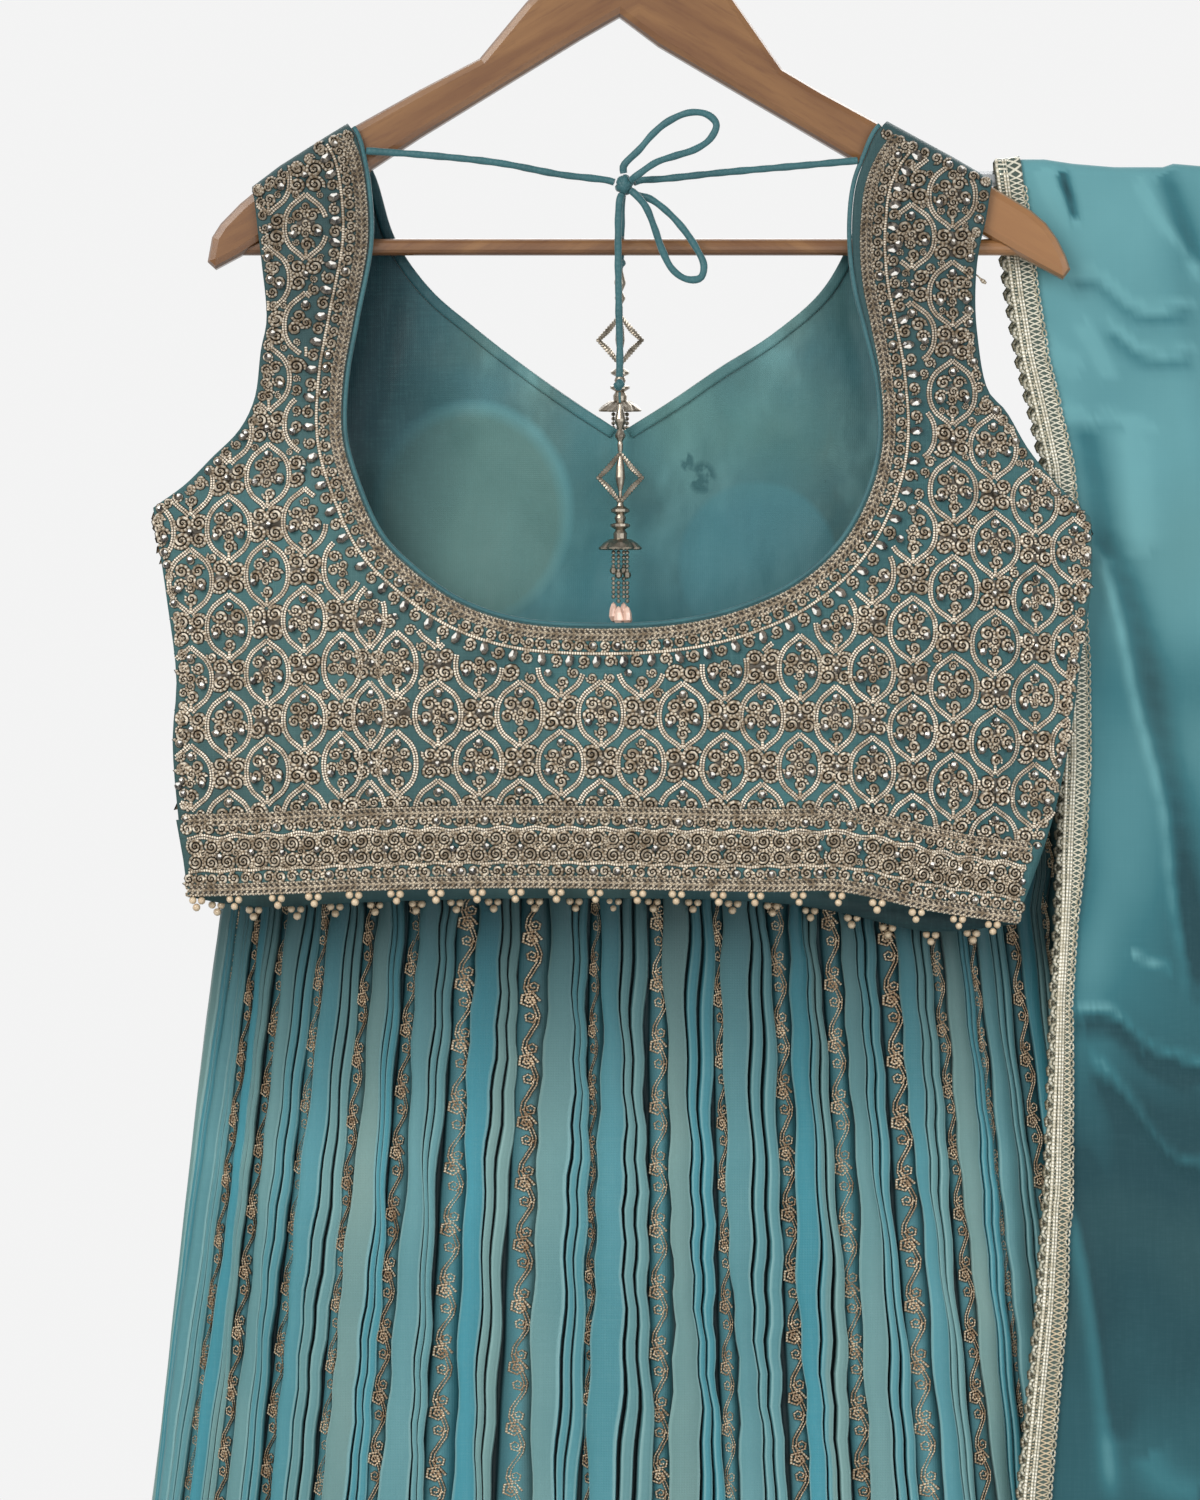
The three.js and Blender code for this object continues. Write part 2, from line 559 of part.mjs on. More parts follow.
// Each pleat from the left: where it begins along the panel, how much of it is the sewn vine band.
const PLEAT_TABLE = [
  [0.000, 0.22], [0.052, 0.20], [0.100, 0.42], [0.152, 0.36], [0.209, 0.30], [0.262, 0.30], [0.305, 0.32],
  [0.349, 0.40], [0.402, 0.44], [0.459, 0.18], [0.504, 0.30], [0.552, 0.22], [0.598, 0.34], [0.642, 0.34],
  [0.691, 0.42], [0.741, 0.34], [0.788, 0.18], [0.842, 0.34], [0.918, 0.40],
];
const PLEAT_STEP = 0.02;      // share of a pleat taken by a folded edge
const PLEAT_PROFILE = [       // place between the band and the next pleat, and height
  [0, 1], [0.62, 0.72], [0.62 + PLEAT_STEP, 0.4],
];

function pleatColumns() {
  const columns = [];
  PLEAT_TABLE.forEach(([from, band], i) => {
    const to = i + 1 < PLEATS ? PLEAT_TABLE[i + 1][0] : 1;
    const share = (t) => lerp(from, to, t);
    columns.push([share(0), 0], [share(band - PLEAT_STEP), 0]);
    for (const [t, height] of PLEAT_PROFILE) columns.push([share(lerp(band, 1, t)), height]);
  });
  columns.push([1, 0]);
  return columns;
}

// The skirt's middle surface at a share of the half turn, 0 at the viewer's left; front is -1 or 1.
function skirtPoint(share, z, front) {
  const angle = Math.PI * (1 - share);
  const wave = 7 * smooth((WAIST_Z - z) / 900) * Math.sin(share * Math.PI * 9) * Math.sin(angle);
  const [a, b] = [straight(SKIRT_HALF, z), straight(SKIRT_DEEP, z)];
  const y = straight(SKIRT_BACK, z) + front * (GAP + b * Math.sin(angle) + wave);
  return vec(SKIRT_X + a * Math.cos(angle), y, z);
}

function skirtPanel(front) {
  const columns = pleatColumns();
  const topZ = WAIST_Z - WAISTBAND - GAP;
  const levels = [topZ, -560, -750, -1050, HEM_Z];
  const rows = levels.map((z) => columns.map(([share]) => skirtPoint(front > 0 ? 1 - share : share, z, front)));
  const raise = levels.map((z) => columns.map(([, height]) => height * PLEAT_RISE));
  return wall(rows, SKIRT_WALL, { raise });
}
add('skirt_front', skirtPanel(-1), 'skirt');
add('skirt_back', skirtPanel(1), 'skirt');

function waistband() {
  const half = 28;
  const rows = [WAIST_Z, WAIST_Z - WAISTBAND].map((z) => Array.from({ length: 2 * half }, (_, i) => (
    i < half ? skirtPoint(i / half, z, -1) : skirtPoint(1 - (i - half) / half, z, 1))));
  return wall(rows, 2, { ring: true });
}
add('skirt_waistband', waistband(), 'skirt');

// Hanging ribbons: each runs up from inside the waistband, over the arm, and down again.
const RIBBON = 7;
const RIBBON_WALL = 1;
function ribbon(topX, footX) {
  const off = RIBBON_WALL / 2 + GAP + 0.05;
  const top = armTop(topX) + off;
  const legY = HANGER_THICK / 2 + off;
  const outside = (t) => lerp(topX, footX, t);
  const line = [
    [footX, 41.4, WAIST_Z - 20], [footX, 40.4, WAIST_Z + 4], [outside(0.6), 21, -350], [outside(0.3), 11.6, -300],
    [outside(0.15), 0, -266], [topX, -legY, -240], [topX, -legY, top - 16], [topX, -legY, top - 4.6],
    [topX, -6.4, top - 1.35], [topX, -3.15, top], [topX, 3.15, top], [topX, 6.4, top - 1.35],
    [topX, legY, top - 4.6], [topX, legY, top - 16], [topX, legY, -240], [outside(0.15), 8.8, -266],
    [outside(0.3), 13.6, -300], [outside(0.6), 22.6, -350], [footX, 42, WAIST_Z + 4], [footX, 43, WAIST_Z - 20],
  ];
  const curve = new THREE.CatmullRomCurve3(line.map(([x, y, z]) => vec(x, y, z)), false, 'centripetal');
  const rows = curve.getPoints(3 * (line.length - 1)).map((p) => [-RIBBON / 2, RIBBON / 2].map((side) => {
    const slant = (armTop(p.x + side) - armTop(p.x)) * smooth((p.z - top + 60) / 40);
    return p.clone().add(vec(side, 0, slant));
  }));
  return wall(rows, RIBBON_WALL);
}
add('hanging_ribbon_left', ribbon(-186, -168), 'dori');
add('hanging_ribbon_right', ribbon(164, 168), 'dori');

// The scarf: a long piece folded lengthwise, laid over a rod.
const SCARF_LEFT = [
  [-1400, 186], [-874, 198], [-825, 203], [-717, 212], [-636, 215], [-554, 219], [-470, 224],
  [-400, 219], [-339, 207], [-310, 199], [-250, 187], [-181, 180],
];
const SCARF_RIGHT = [[-1400, 500], [-900, 492], [-400, 480], [-181, 474]];
const SCARF_FOLDS = [        // place across, reach, depth, and how much of it is left at the foot
  { at: 0.27, wide: 0.05, deep: -7, kept: 0.4 },
  { at: 0.36, wide: 0.06, deep: 4, kept: 0.5 },
  { at: 0.6, wide: 0.05, deep: 5, kept: 0.8 },
  { at: 0.66, wide: 0.04, deep: -5, kept: 0.6 },
  { at: 0.85, wide: 0.06, deep: 4, kept: 1 },
];
const SCARF_COLUMNS = [
  0, 0.026, 0.07, 0.13, 0.2, 0.24, 0.27, 0.31, 0.36, 0.42, 0.5, 0.56, 0.61, 0.66, 0.72, 0.8, 0.87, 0.94, 1,
];

function scarfFold(t, drop, side) {
  const fall = clamp01(drop / SCARF_DROP);
  const start = smooth((drop - 8) / 70);
  const folds = SCARF_FOLDS.reduce(
    (sum, f) => sum + f.deep * hump(t - f.at + 0.05 * fall * side, f.wide) * lerp(1, f.kept, fall), 0);
  return start * (folds + 4 * fall * Math.sin(t * 11 + side + 4 * fall));
}

const SCARF_ROUND = ROD_R + 0.5 + SCARF_WALL / 2;    // radius of the scarf's middle surface over the rod
const SCARF_HALF_TURN = Math.PI * SCARF_ROUND / 2;

// A point of the scarf: t across it, and its distance along it from the top, less than 0 in front.
function scarfPoint(t, length) {
  const side = length < 0 ? -1 : 1;
  const drop = Math.max(0, Math.abs(length) - SCARF_HALF_TURN);
  const angle = Math.min(Math.abs(length), SCARF_HALF_TURN) / SCARF_ROUND;
  const z = ROD_Z + SCARF_ROUND * Math.cos(angle) - drop;
  const x = lerp(straight(SCARF_LEFT, z), straight(SCARF_RIGHT, z), t);
  return vec(x, ROD_Y + side * SCARF_ROUND * Math.sin(angle) + scarfFold(t, drop, side), z);
}

function scarfRows(columns, out) {
  const drops = [10, 40, 90, 160, 250, 380, 560, 820, SCARF_DROP];
  const over = [-1, -0.75, -0.5, -0.25, 0, 0.25, 0.5, 0.75, 1].map((t) => t * SCARF_HALF_TURN);
  const down = drops.map((drop) => SCARF_HALF_TURN + drop);
  const lengths = [...[...down].reverse().map((d) => -d), ...over, ...down];
  const middle = lengths.map((length) => columns.map((t) => scarfPoint(t, length)));
  const normals = gridNormals(middle, false);
  return middle.map((row, i) => row.map((p, j) => p.clone().addScaledVector(normals[i][j], -out)));
}
add('scarf', wall(scarfRows(SCARF_COLUMNS, 0), SCARF_WALL), 'scarf');
add('scarf_lace', wall(scarfRows([-0.025, 0, 0.026], SCARF_WALL / 2 + GAP + 0.5), 1), 'lace');

// The open-ended wire hanger of the scarf: a rod under the fold that turns back above it to the hook
const rodPath = [
  vec(ROD_FROM, ROD_Y, ROD_Z), vec(lerp(ROD_FROM, ROD_TO, 0.33), ROD_Y, ROD_Z),
  vec(lerp(ROD_FROM, ROD_TO, 0.66), ROD_Y, ROD_Z), vec(ROD_TO, ROD_Y, ROD_Z),
  ...[-0.3, 0, 0.3].map((t) => vec(
    ROD_TO + 18 * Math.cos(t * Math.PI), ROD_Y, lerp(ROD_Z, ROD_RETURN_Z, 0.5 + 0.5 * Math.sin(t * Math.PI)))),
  vec(ROD_TO, ROD_Y, ROD_RETURN_Z), vec(lerp(ROD_TO, ROD_X, 0.5), ROD_Y, ROD_RETURN_Z),
  vec(ROD_X + 16, ROD_Y, ROD_RETURN_Z), vec(ROD_X + 3, ROD_Y, ROD_RETURN_Z + 5), vec(ROD_X, ROD_Y, ROD_RETURN_Z + 18),
  vec(ROD_X, ROD_Y, -70), vec(ROD_X, ROD_Y, -40), ...hookBend(ROD_X, ROD_Y, ROD_R),
];
add('scarf_hanger', tube(rodPath, ROD_R, 6, 58), 'steel');

export default group;
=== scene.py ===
"""The looks of a three-piece lehenga outfit on its hangers: a scooped blouse seen from the back, a pleated
skirt behind it, a scarf over a rod at the right. Tables are in millimetres, in the frame of the solids:
+X is the viewer's right, -Y faces the viewer, +Z is up, and the rail passes at the origin."""

import json
import math

import bpy
import numpy as np
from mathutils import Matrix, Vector
from mathutils.kdtree import KDTree

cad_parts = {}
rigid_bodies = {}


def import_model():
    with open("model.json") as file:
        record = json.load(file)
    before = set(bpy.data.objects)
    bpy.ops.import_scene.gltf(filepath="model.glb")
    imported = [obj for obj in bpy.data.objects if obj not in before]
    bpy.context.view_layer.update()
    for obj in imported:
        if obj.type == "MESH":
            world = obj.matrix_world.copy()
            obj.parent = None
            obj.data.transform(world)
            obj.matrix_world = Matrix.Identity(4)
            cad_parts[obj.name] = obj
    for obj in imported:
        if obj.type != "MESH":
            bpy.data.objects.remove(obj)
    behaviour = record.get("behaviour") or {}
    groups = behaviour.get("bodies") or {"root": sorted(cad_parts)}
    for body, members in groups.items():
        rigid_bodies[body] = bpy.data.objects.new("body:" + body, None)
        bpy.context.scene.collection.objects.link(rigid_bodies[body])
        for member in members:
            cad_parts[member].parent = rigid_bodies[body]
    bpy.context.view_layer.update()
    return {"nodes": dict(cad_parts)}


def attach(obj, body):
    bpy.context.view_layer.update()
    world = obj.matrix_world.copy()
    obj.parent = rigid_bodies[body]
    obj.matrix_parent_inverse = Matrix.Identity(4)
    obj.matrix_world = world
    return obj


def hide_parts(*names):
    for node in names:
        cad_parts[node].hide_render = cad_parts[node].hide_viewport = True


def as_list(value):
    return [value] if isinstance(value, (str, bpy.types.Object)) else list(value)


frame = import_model()
MM = 0.001
FAR = 1e6                    # further than any place on the outfit
chance = np.random.default_rng(7)

# The camera
VIEW_X, VIEW_Z = -20.0, -487.0
VIEW_FROM = -2600.0
LENS = 120.9

# Cloth
CLOTH = 1.2
STRAP_Y = 10.2
STRAP_RISE = 3.2
CURL = 6
SEAM_Y = 0.8
BACK_SWELL = 22
FRONT_SWELL = 14
SWELL_REACH = 80
GAP = 0.3
BAND = 40
ON_BAND = 2.3              # the hem band's middle surface, out from its panel's
PIPING_R = 1.2
FACING = 5.5

# Skirt
WAIST_Z = -430
WAISTBAND = 32
HEM_Z = -1485
SKIRT_X = 3
PLEAT_RISE = 8.0

# Scarf and its rod
ROD_Y = 19.4
ROD_Z = -190
ROD_R = 4
SCARF_WALL = 2.4
SCARF_DROP = 1150

# The ogee lattice on the back panel
OGEE_ROW_Z = -493.5
OGEE_STEP = 25.3
OGEE_X = [
    [-8, -312], [-7, -271.5], [-6, -230.9], [-5, -190.6], [-4, -152], [-3, -124], [-2, -82], [-1, -40],
    [0, 1],
    [1, 43.7], [2, 82.3], [3, 119.2], [4, 161.1], [5, 203.9], [6, 245],
    [7, 287], [8, 329],
]
OGEE_SHIFT = [
    [-6, -7.4], [-5, -4.1], [-4, -0.8], [-3, 0], [0, 0], [1, -1.7], [2, -1.7], [3, -3.3], [4, -11.8],
    [5, -16.8],
]


# Small tools
def smooth(t):
    t = np.clip(t, 0, 1)
    return t * t * (3 - 2 * t)


def hump(distance, reach):
    return np.exp(-((distance / reach) ** 2))


def straight(table, key):
    keys, values = np.array(table, float).T
    return np.interp(key, keys, values)


def along(table, key):
    keys, values = np.array(table, float).T
    i = np.clip(np.searchsorted(keys, key), 1, len(keys) - 1)
    t = smooth((key - keys[i - 1]) / (keys[i] - keys[i - 1]))
    return values[i - 1] + (values[i] - values[i - 1]) * t


def unit(vectors):
    return vectors / np.maximum(np.linalg.norm(vectors, axis=-1, keepdims=True), 1e-9)


class Line:
    """A smooth line through rows of [x, z] or [x, y, z], read by shares of its length."""

    def __init__(self, rows):
        rows = [row if len(row) == 3 else [row[0], 0, row[1]] for row in rows]
        p = np.array(rows, float)
        p = np.vstack([2 * p[0] - p[1], p, 2 * p[-1] - p[-2]])
        samples = []
        t = np.linspace(0, 1, 24, endpoint=False)[:, None]
        for i in range(1, len(p) - 2):
            p0, p1, p2, p3 = p[i - 1 : i + 3]
            d0, d1, d2 = [max(np.linalg.norm(d) ** 0.5, 1e-4) for d in (p1 - p0, p2 - p1, p3 - p2)]
            m1 = ((p1 - p0) / d0 - (p2 - p0) / (d0 + d1) + (p2 - p1) / d1) * d1
            m2 = ((p2 - p1) / d1 - (p3 - p1) / (d1 + d2) + (p3 - p2) / d2) * d1
            square, cube = 3 * (p2 - p1) - 2 * m1 - m2, 2 * (p1 - p2) + m1 + m2
            samples.append(p1 + m1 * t + square * t**2 + cube * t**3)
        self.points = np.vstack([*samples, p[-2]])
        self.run = np.concatenate([[0], np.cumsum(np.linalg.norm(np.diff(self.points, axis=0), axis=1))])
        self.length = self.run[-1]

    def at(self, shares):
        run = np.clip(shares, 0, 1) * self.length
        return np.stack([np.interp(run, self.run, self.points[:, k]) for k in range(3)], -1)

    def heading(self, shares):
        return unit(self.at(np.asarray(shares) + 0.002) - self.at(np.asarray(shares) - 0.002))


def linked(name, mesh, *materials):
    piece = bpy.data.objects.new(name, mesh)
    for material in materials:
        mesh.materials.append(material)
    bpy.context.scene.collection.objects.link(piece)
    return piece


def plain_mesh(name, points, faces, edges=(), **attributes):
    """A mesh from points in millimetres, with named attributes on its points."""
    mesh = bpy.data.meshes.new(name)
    points = np.asarray(points, float) * MM
    mesh.from_pydata(points.tolist(), [tuple(e) for e in edges], [tuple(int(v) for v in f) for f in faces])
    for key, values in attributes.items():
        values = np.asarray(values, np.float32)
        kind = "FLOAT_VECTOR" if values.ndim == 2 else "FLOAT"
        layer = mesh.attributes.new(key, kind, "POINT")
        layer.data.foreach_set("vector" if values.ndim == 2 else "value", values.ravel())
    mesh.validate()
    mesh.update()
    return mesh


def grid_faces(count, width, ring=False, flip=False):
    index = np.arange(count * width).reshape(count, width)
    if ring:
        index = np.hstack([index, index[:, :1]])
    quads = np.stack([index[:-1, :-1], index[1:, :-1], index[1:, 1:], index[:-1, 1:]], -1).reshape(-1, 4)
    return quads[:, ::-1] if flip else quads


def cloth_mesh(name, grid, ring=False, flip=False, **attributes):
    count, width = grid.shape[:2]
    flat = {key: np.asarray(values).reshape(count * width) for key, values in attributes.items()}
    mesh = plain_mesh(name, grid.reshape(-1, 3), grid_faces(count, width, ring, flip), **flat)
    mesh.shade_smooth()
    return mesh


def thickened(piece, wall, offset=0.0, inner=False):
    solid = piece.modifiers.new("wall", "SOLIDIFY")
    solid.thickness = wall * MM
    solid.offset = offset
    solid.use_even_offset = False
    solid.material_offset = 1 if inner else 0
    solid.material_offset_rim = 0


def spread_of(piece):
    """The area of a one-layer piece, in square metres."""
    return sum(face.area for face in piece.data.polygons)


def placed(piece, slot, *nodes):
    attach(piece, "root")
    if nodes:
        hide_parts(*nodes)
    return piece


# Node helpers, for shaders and for geometry trees
def node(tree, kind, inputs=None, **settings):
    made = tree.nodes.new(kind)
    for key, value in settings.items():
        setattr(made, key, value)
    for key, value in (inputs or {}).items():
        if isinstance(value, bpy.types.NodeSocket):
            tree.links.new(value, made.inputs[key])
        else:
            made.inputs[key].default_value = value
    return made


def rgb(code):
    """A linear colour from a screen colour code such as b59a78."""
    parts = [int(code[i : i + 2], 16) / 255 for i in (0, 2, 4)]
    return (*[c / 12.92 if c <= 0.04045 else ((c + 0.055) / 1.055) ** 2.4 for c in parts], 1)


class Finish:
    """A material with a Principled shader and short calls for the nodes that feed it."""

    def __init__(self, name, rough, metallic=0.0, **constants):
        self.material = bpy.data.materials.new(name)
        self.material.use_nodes = True
        self.tree = self.material.node_tree
        self.shader = self.tree.nodes["Principled BSDF"]
        self.shader.inputs["Roughness"].default_value = rough
        self.shader.inputs["Metallic"].default_value = metallic
        for key, value in constants.items():
            self.shader.inputs[key.replace("_", " ")].default_value = value
        self.place = node(self.tree, "ShaderNodeTexCoord").outputs["Object"]

    def scaled(self, sx, sy, sz):
        made = node(self.tree, "ShaderNodeMapping", {"Vector": self.place, "Scale": (sx, sy, sz)})
        return made.outputs["Vector"]

    def axis(self, name):
        """The place along X, Y or Z, in metres."""
        return node(self.tree, "ShaderNodeSeparateXYZ", {"Vector": self.place}).outputs[name]

    def value(self, name):
        return node(self.tree, "ShaderNodeAttribute", attribute_name=name).outputs["Fac"]

    def noise(self, scale, detail=3.0, vector=None, rough=0.5):
        inputs = {"Vector": vector or self.place, "Scale": scale, "Detail": detail, "Roughness": rough}
        return node(self.tree, "ShaderNodeTexNoise", inputs).outputs["Fac"]

    def math(self, operation, a, b=0.5):
        made = node(self.tree, "ShaderNodeMath", operation=operation)
        for socket, value in zip(made.inputs, (a, b)):
            if isinstance(value, bpy.types.NodeSocket):
                self.tree.links.new(value, socket)
            else:
                socket.default_value = value
        return made.outputs[0]

    def waves(self, run, pitch):
        """A swing from -1 to 1 with each pitch of the run."""
        return self.math("SINE", self.math("MULTIPLY", run, 2 * math.pi / pitch))

    def ranged(self, value, low, high, out_low=0.0, out_high=1.0):
        inputs = {"Value": value, "From Min": low, "From Max": high, "To Min": out_low, "To Max": out_high}
        return node(self.tree, "ShaderNodeMapRange", inputs, clamp=True).outputs["Result"]

    def disc(self, x, z, wide, tall, soft, most):
        """Full inside an upright oval at x, z in millimetres, and nothing outside, with a soft rim."""
        turned = node(self.tree, "ShaderNodeMapping", {
            "Vector": self.place, "Location": (-x / wide, 0, -z / tall),
            "Scale": (1 / (wide * MM), 0, 1 / (tall * MM))})
        size = node(self.tree, "ShaderNodeVectorMath", {0: turned.outputs["Vector"]}, operation="LENGTH")
        return self.ranged(size.outputs["Value"], 1 - soft, 1 + soft, most, 0)

    def mix(self, share, a, b):
        made = node(self.tree, "ShaderNodeMix", data_type="RGBA")
        for name, value in (("Factor_Float", share), ("A_Color", a), ("B_Color", b)):
            socket = next(s for s in made.inputs if s.identifier == name)
            if isinstance(value, bpy.types.NodeSocket):
                self.tree.links.new(value, socket)
            else:
                socket.default_value = value
        return next(s for s in made.outputs if s.identifier == "Result_Color")

    def tint(self, base, code, value, low, high, out_low=0.0, out_high=1.0):
        """The base with a colour mixed over it by a value between two limits."""
        return self.mix(self.ranged(value, low, high, out_low, out_high), base, rgb(code))

    def colour(self, value):
        self.tree.links.new(value, self.shader.inputs["Base Color"])

    def rough(self, value):
        self.tree.links.new(value, self.shader.inputs["Roughness"])

    def bump(self, height, strength, distance, normal=None):
        inputs = {"Height": height, "Strength": strength, "Distance": distance}
        if normal:
            inputs["Normal"] = normal
        made = node(self.tree, "ShaderNodeBump", inputs).outputs["Normal"]
        self.tree.links.new(made, self.shader.inputs["Normal"])
        return made


def group_io(tree, inputs, outputs):
    for name, kind in inputs:
        tree.interface.new_socket(name, in_out="INPUT", socket_type=kind)
    for name, kind in outputs:
        tree.interface.new_socket(name, in_out="OUTPUT", socket_type=kind)
    return tree.nodes.new("NodeGroupInput"), tree.nodes.new("NodeGroupOutput")


def weave_group():
    """Threads across and along: a height and a mask of light and dark threads."""
    tree = bpy.data.node_groups.new("weave", "ShaderNodeTree")
    source, sink = group_io(
        tree, [("Vector", "NodeSocketVector"), ("Threads", "NodeSocketFloat")],
        [("Height", "NodeSocketFloat"), ("Slub", "NodeSocketFloat")])
    heights = []
    for across, stretch in (("X", (1, 1, 0.05)), ("Z", (0.05, 1, 1))):
        wave = node(tree, "ShaderNodeTexWave", {
            "Vector": source.outputs["Vector"], "Scale": source.outputs["Threads"], "Distortion": 0.6,
            "Detail": 1.0}, wave_type="BANDS", bands_direction=across)
        heights.append(wave.outputs["Fac"])
        drawn = node(tree, "ShaderNodeMapping", {"Vector": source.outputs["Vector"], "Scale": stretch})
        slub = node(tree, "ShaderNodeTexNoise", {"Vector": drawn.outputs["Vector"], "Scale": 900.0})
        heights.append(slub.outputs["Fac"])
    both = node(tree, "ShaderNodeMath", operation="MULTIPLY")
    tree.links.new(heights[0], both.inputs[0])
    tree.links.new(heights[2], both.inputs[1])
    slubs = node(tree, "ShaderNodeMath", operation="ADD")
    tree.links.new(heights[1], slubs.inputs[0])
    tree.links.new(heights[3], slubs.inputs[1])
    tree.links.new(both.outputs[0], sink.inputs["Height"])
    tree.links.new(slubs.outputs[0], sink.inputs["Slub"])
    return tree


WEAVE = weave_group()


def woven(finish, threads):
    made = node(finish.tree, "ShaderNodeGroup", node_tree=WEAVE)
    finish.tree.links.new(finish.place, made.inputs["Vector"])
    made.inputs["Threads"].default_value = threads
    return made.outputs["Height"], made.outputs["Slub"]


# Materials
def crepe_finish():
    """Plain cloth with soft changes of tone, a woven surface and a slight sheen, with painted shade on the straps."""
    finish = Finish("teal crepe", 0.62, Sheen_Weight=0.15, Sheen_Roughness=0.4, Specular_IOR_Level=0.3)
    base = finish.tint(rgb("234a4e"), "386467", finish.noise(9.0, 3.0), 0.3, 0.7)
    height, slub = woven(finish, 260.0)
    base = finish.tint(base, "5b8584", slub, 0.9, 1.35, 0, 0.2)
    base = finish.tint(base, "4d4a3a", finish.noise(3.0, 2.0), 0.5, 0.75, 0, 0.3)
    # Painted shade: the cloth made darker on the straps, where they lie in shade
    base = finish.tint(base, "1d3033", finish.axis("Z"), -0.36, -0.27, 0, 0.6)
    finish.colour(base)
    finish.bump(height, 0.35, 0.0003)
    return finish.material


# Patches on the lining: tone in rows 1 and 5, painted shade with a painted light rim where the cups stand out in rows
# 2 to 4, painted shade beside the straps in the last two rows
LINING_TONES_AND_SHADE = [             # x, z, half width, half height, softness of the rim, strength, colour
    [-20, -415, 46, 70, 0.6, 0.6, "336f78"], [-86, -363, 51, 56, 0.05, 0.5, "5d959b"],
    [-87, -366, 48, 55, 0.08, 0.8, "4d6c66"], [62, -391, 41, 43, 0.04, 0.7, "3f727a"],
    [40, -320, 50, 26, 0.7, 0.6, "4b7774"], [-146, -262, 46, 118, 0.5, 1.0, "032c33"],
    [126, -235, 30, 75, 0.6, 0.75, "18474d"],
]
WATER_MARKS = [[33, -346, 7, 8], [25, -338, 3.4, 4.6]]


def lining_finish():
    """Plain lining: painted shade with a painted light rim where the cups sewn behind it stand out, painted deep shade
    beside the straps and along the hem, rumples with painted light and shade, and a dried water mark.
    """
    finish = Finish("lining satin", 0.5, Sheen_Weight=0.1, Sheen_Roughness=0.35, Specular_IOR_Level=0.25)
    base = finish.tint(rgb("466360"), "3d676d", finish.noise(13.0, 4.0), 0.36, 0.64)
    rumple_relief_and_shade = finish.noise(26.0, 3.0, finish.scaled(1, 1, 0.55), 0.6)
    # Painted light and painted shade of the rumples, which also press in as a bump below
    base = finish.tint(base, "78aaab", rumple_relief_and_shade, 0.5, 0.66, 0, 0.3)
    base = finish.tint(base, "24545a", rumple_relief_and_shade, 0.34, 0.47, 0.3, 0)
    # Tone, the cups' painted shade and light rim, and the painted shade beside the straps
    for *place, code in LINING_TONES_AND_SHADE:
        base = finish.mix(finish.disc(*place), base, rgb(code))
    torn = finish.ranged(finish.noise(170.0, 2.0), 0.42, 0.55)
    for place in WATER_MARKS:
        mark = finish.math("MULTIPLY", finish.disc(*place, 0.2, 0.7), torn)
        base = finish.mix(mark, base, rgb("1c494e"))
    # Painted shade: the front panel's hem strip made near-black, where its inside lies in shade
    base = finish.tint(base, "082428", finish.axis("Z"), -0.57, -0.548, 0.9, 0)
    height, slub = woven(finish, 300.0)
    finish.colour(finish.tint(base, "5d8f90", slub, 0.95, 1.3, 0, 0.06))
    pressed_in = finish.bump(rumple_relief_and_shade, 0.5, 0.006)
    finish.bump(height, 0.25, 0.0003, pressed_in)
    return finish.material


def thread_finish(name, dark, mid, light, pitch, strap_shade=0.0):
    """Metal thread: a twisted cord with a painted highlight along each twist and painted near-black shade in the gaps
    beside it, and painted shade on the straps.
    """
    finish = Finish(name, 0.38, 0.25)
    twist = finish.ranged(finish.waves(finish.value("run"), pitch), -1, 0.6)
    worn = finish.noise(230.0, 3.0)
    # Painted highlight: the lighter colour on each turn of the twist, worn in places
    twist_highlight = finish.math("MULTIPLY", twist, finish.ranged(worn, 0.34, 0.58, 0.2, 1))
    body = finish.mix(twist_highlight, rgb(mid), rgb(light))
    body = finish.tint(body, mid, finish.value("tone"), 0.6, 1, 0, 0.35)
    # Painted shade on the straps
    body = finish.tint(body, "4f4130", finish.axis("Z"), -0.38, -0.25, 0, strap_shade)
    # Painted shade: near-black where the crest is low, in the gaps beside and between the cords
    finish.colour(finish.mix(finish.ranged(finish.value("crest"), 0.22, 0.62), rgb(dark), body))
    finish.rough(finish.ranged(worn, 0.3, 0.7, 0.3, 0.55))
    finish.bump(twist, 0.6, 0.0004)
    return finish.material


ZIGZAG = 2.7                 # half a zigzag of the edge lace


